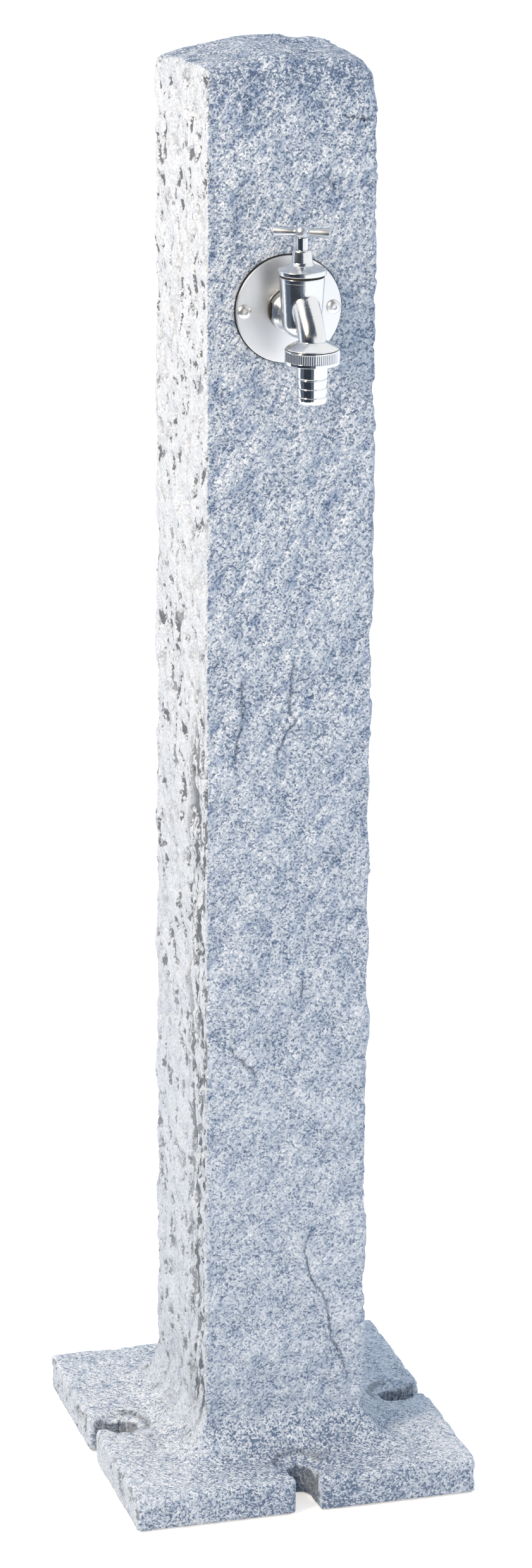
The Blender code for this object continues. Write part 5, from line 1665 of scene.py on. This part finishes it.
class WATERPOST_OT_studio(bpy.types.Operator):
    """Makes the camera, the pale floor, the soft light and the dark flags that the chrome mirrors"""

    bl_idname = "water_post.studio"
    bl_label = "Studio"

    def execute(self, context):
        scene = context.scene
        studio = scene.water_post_studio
        self.camera(scene, studio)
        self.world(scene, studio)
        self.floor(studio)
        self.key(scene, studio)
        for name, (*edges, turns, tone) in FLAGS.items():
            self.flag(name, edges, turns, tone)
        scene.view_settings.view_transform = "Standard"
        return {"FINISHED"}

    def camera(self, scene, studio):
        turn, tilt = studio.azimuth, studio.elevation
        ahead = Vector((math.sin(turn) * math.cos(tilt), math.cos(turn) * math.cos(tilt), -math.sin(tilt)))
        right = Vector((math.cos(turn), -math.sin(turn), 0))
        up = right.cross(ahead)
        rolled_right = right * math.cos(studio.roll) + up * math.sin(studio.roll)
        rolled_up = up * math.cos(studio.roll) - right * math.sin(studio.roll)
        lens = bpy.data.cameras.new("photo_camera")
        lens.sensor_width = SENSOR_WIDTH
        lens.lens = studio.lens
        lens.clip_end = VIEW_END
        camera = bpy.data.objects.new("photo_camera", lens)
        axes = Matrix((rolled_right, rolled_up, -ahead)).transposed().to_4x4()
        place = Vector(studio.target) - ahead * studio.distance
        camera.matrix_world = Matrix.Translation(place) @ axes
        scene.collection.objects.link(camera)
        scene.camera = camera

    def world(self, scene, studio):
        world = bpy.data.worlds.new("studio_world")
        scene.world = world
        world.use_nodes = True
        tree = world.node_tree
        tree.nodes.clear()
        lit = field(tree, "ShaderNodeBackground", {"Color": studio.fill_tint, "Strength": studio.fill})
        white = field(tree, "ShaderNodeBackground", {"Color": (1, 1, 1, 1), "Strength": 1.0})
        both = field(tree, "ShaderNodeMixShader", {0: seen_white(tree), 1: lit, 2: white})
        add(tree, "ShaderNodeOutputWorld", {"Surface": both})

    def floor(self, studio):
        bm = bmesh.new()
        bmesh.ops.create_grid(bm, x_segments=1, y_segments=1, size=FLOOR_SIZE / 2)
        bmesh.ops.translate(bm, verts=bm.verts, vec=(0, 0, -FLOOR_DROP))
        floor = solid("floor", bm)
        material, tree, shader = new_material("pale_floor_paint")
        feed(shader, {"Base Color": studio.floor, "Roughness": FLOOR_ROUGHNESS})
        feed(shader, {"Specular IOR Level": FLOOR_GLOSS})
        lift = seen_white(tree) * studio.floor_lift
        feed(shader, {"Emission Color": studio.floor_glow, "Emission Strength": lift})
        floor.data.materials.append(material)

    def key(self, scene, studio):
        lamp = bpy.data.lights.new("key_lamp", "AREA")
        lamp.shape = "RECTANGLE"
        lamp.size, lamp.size_y = KEY_SIZE
        lamp.energy = studio.key_power
        lamp.color = studio.key_tint[:3]
        key = bpy.data.objects.new("key_lamp", lamp)
        place = Vector(KEY_PLACE)
        turn = (Vector(KEY_AIM) - place).to_track_quat("-Z", "Y")
        key.matrix_world = Matrix.Translation(place) @ turn.to_matrix().to_4x4()
        scene.collection.objects.link(key)

    def flag(self, name, edges, turns, tone):
        """A dark curved card that only mirrors see, as a photographer sets one to draw a chrome edge."""
        bm = bmesh.new()
        rows = []
        for radius, height in edges:
            points = arc((-TAP_X, 0), radius, *turns, FLAG_STEPS)
            rows.append([bm.verts.new((-y, -x, height)) for x, y in points])
        bridge(bm, [rows], FLAG_STEPS)
        flag = solid(name, bm)
        material, tree, shader = new_material(f"{name}_felt")
        feed(shader, {"Base Color": from_hex(tone), "Roughness": 1.0})
        flag.data.materials.append(material)
        for ray in ("camera", "diffuse", "shadow", "transmission"):
            setattr(flag, f"visible_{ray}", False)


# Panel and registration

STEPS = (
    WATERPOST_OT_finishes,
    WATERPOST_OT_post,
    WATERPOST_OT_rosette,
    WATERPOST_OT_tap,
    WATERPOST_OT_headwork,
    WATERPOST_OT_union,
    WATERPOST_OT_studio,
)
SETTINGS = {
    "water_post_post": PostSizes,
    "water_post_slots": SlotSizes,
    "water_post_tap": TapSizes,
    "water_post_finishes": Finishes,
    "water_post_studio": StudioSettings,
}


class WATERPOST_PT_steps(bpy.types.Panel):
    """Lists the steps and the settings"""

    bl_idname = "WATERPOST_PT_steps"
    bl_label = "Garden water post"
    bl_space_type = "VIEW_3D"
    bl_region_type = "UI"
    bl_category = "Water post"

    def draw(self, context):
        for step in STEPS:
            self.layout.operator(step.bl_idname)
        for name, group in SETTINGS.items():
            box = self.layout.box()
            box.label(text=group.__doc__)
            for setting in group.__annotations__:
                box.prop(getattr(context.scene, name), setting)


def register():
    for kind in (*SETTINGS.values(), *STEPS, WATERPOST_PT_steps):
        bpy.utils.register_class(kind)
    for name, group in SETTINGS.items():
        setattr(bpy.types.Scene, name, PointerProperty(type=group))


def unregister():
    for name in SETTINGS:
        delattr(bpy.types.Scene, name)
    for kind in reversed((*SETTINGS.values(), *STEPS, WATERPOST_PT_steps)):
        bpy.utils.unregister_class(kind)


def main():
    register()
    bpy.ops.water_post.finishes()
    bpy.ops.water_post.post()
    bpy.ops.water_post.rosette()
    bpy.ops.water_post.tap()
    bpy.ops.water_post.headwork()
    bpy.ops.water_post.union()
    bpy.ops.water_post.studio()


if __name__ == "__main__":
    main()
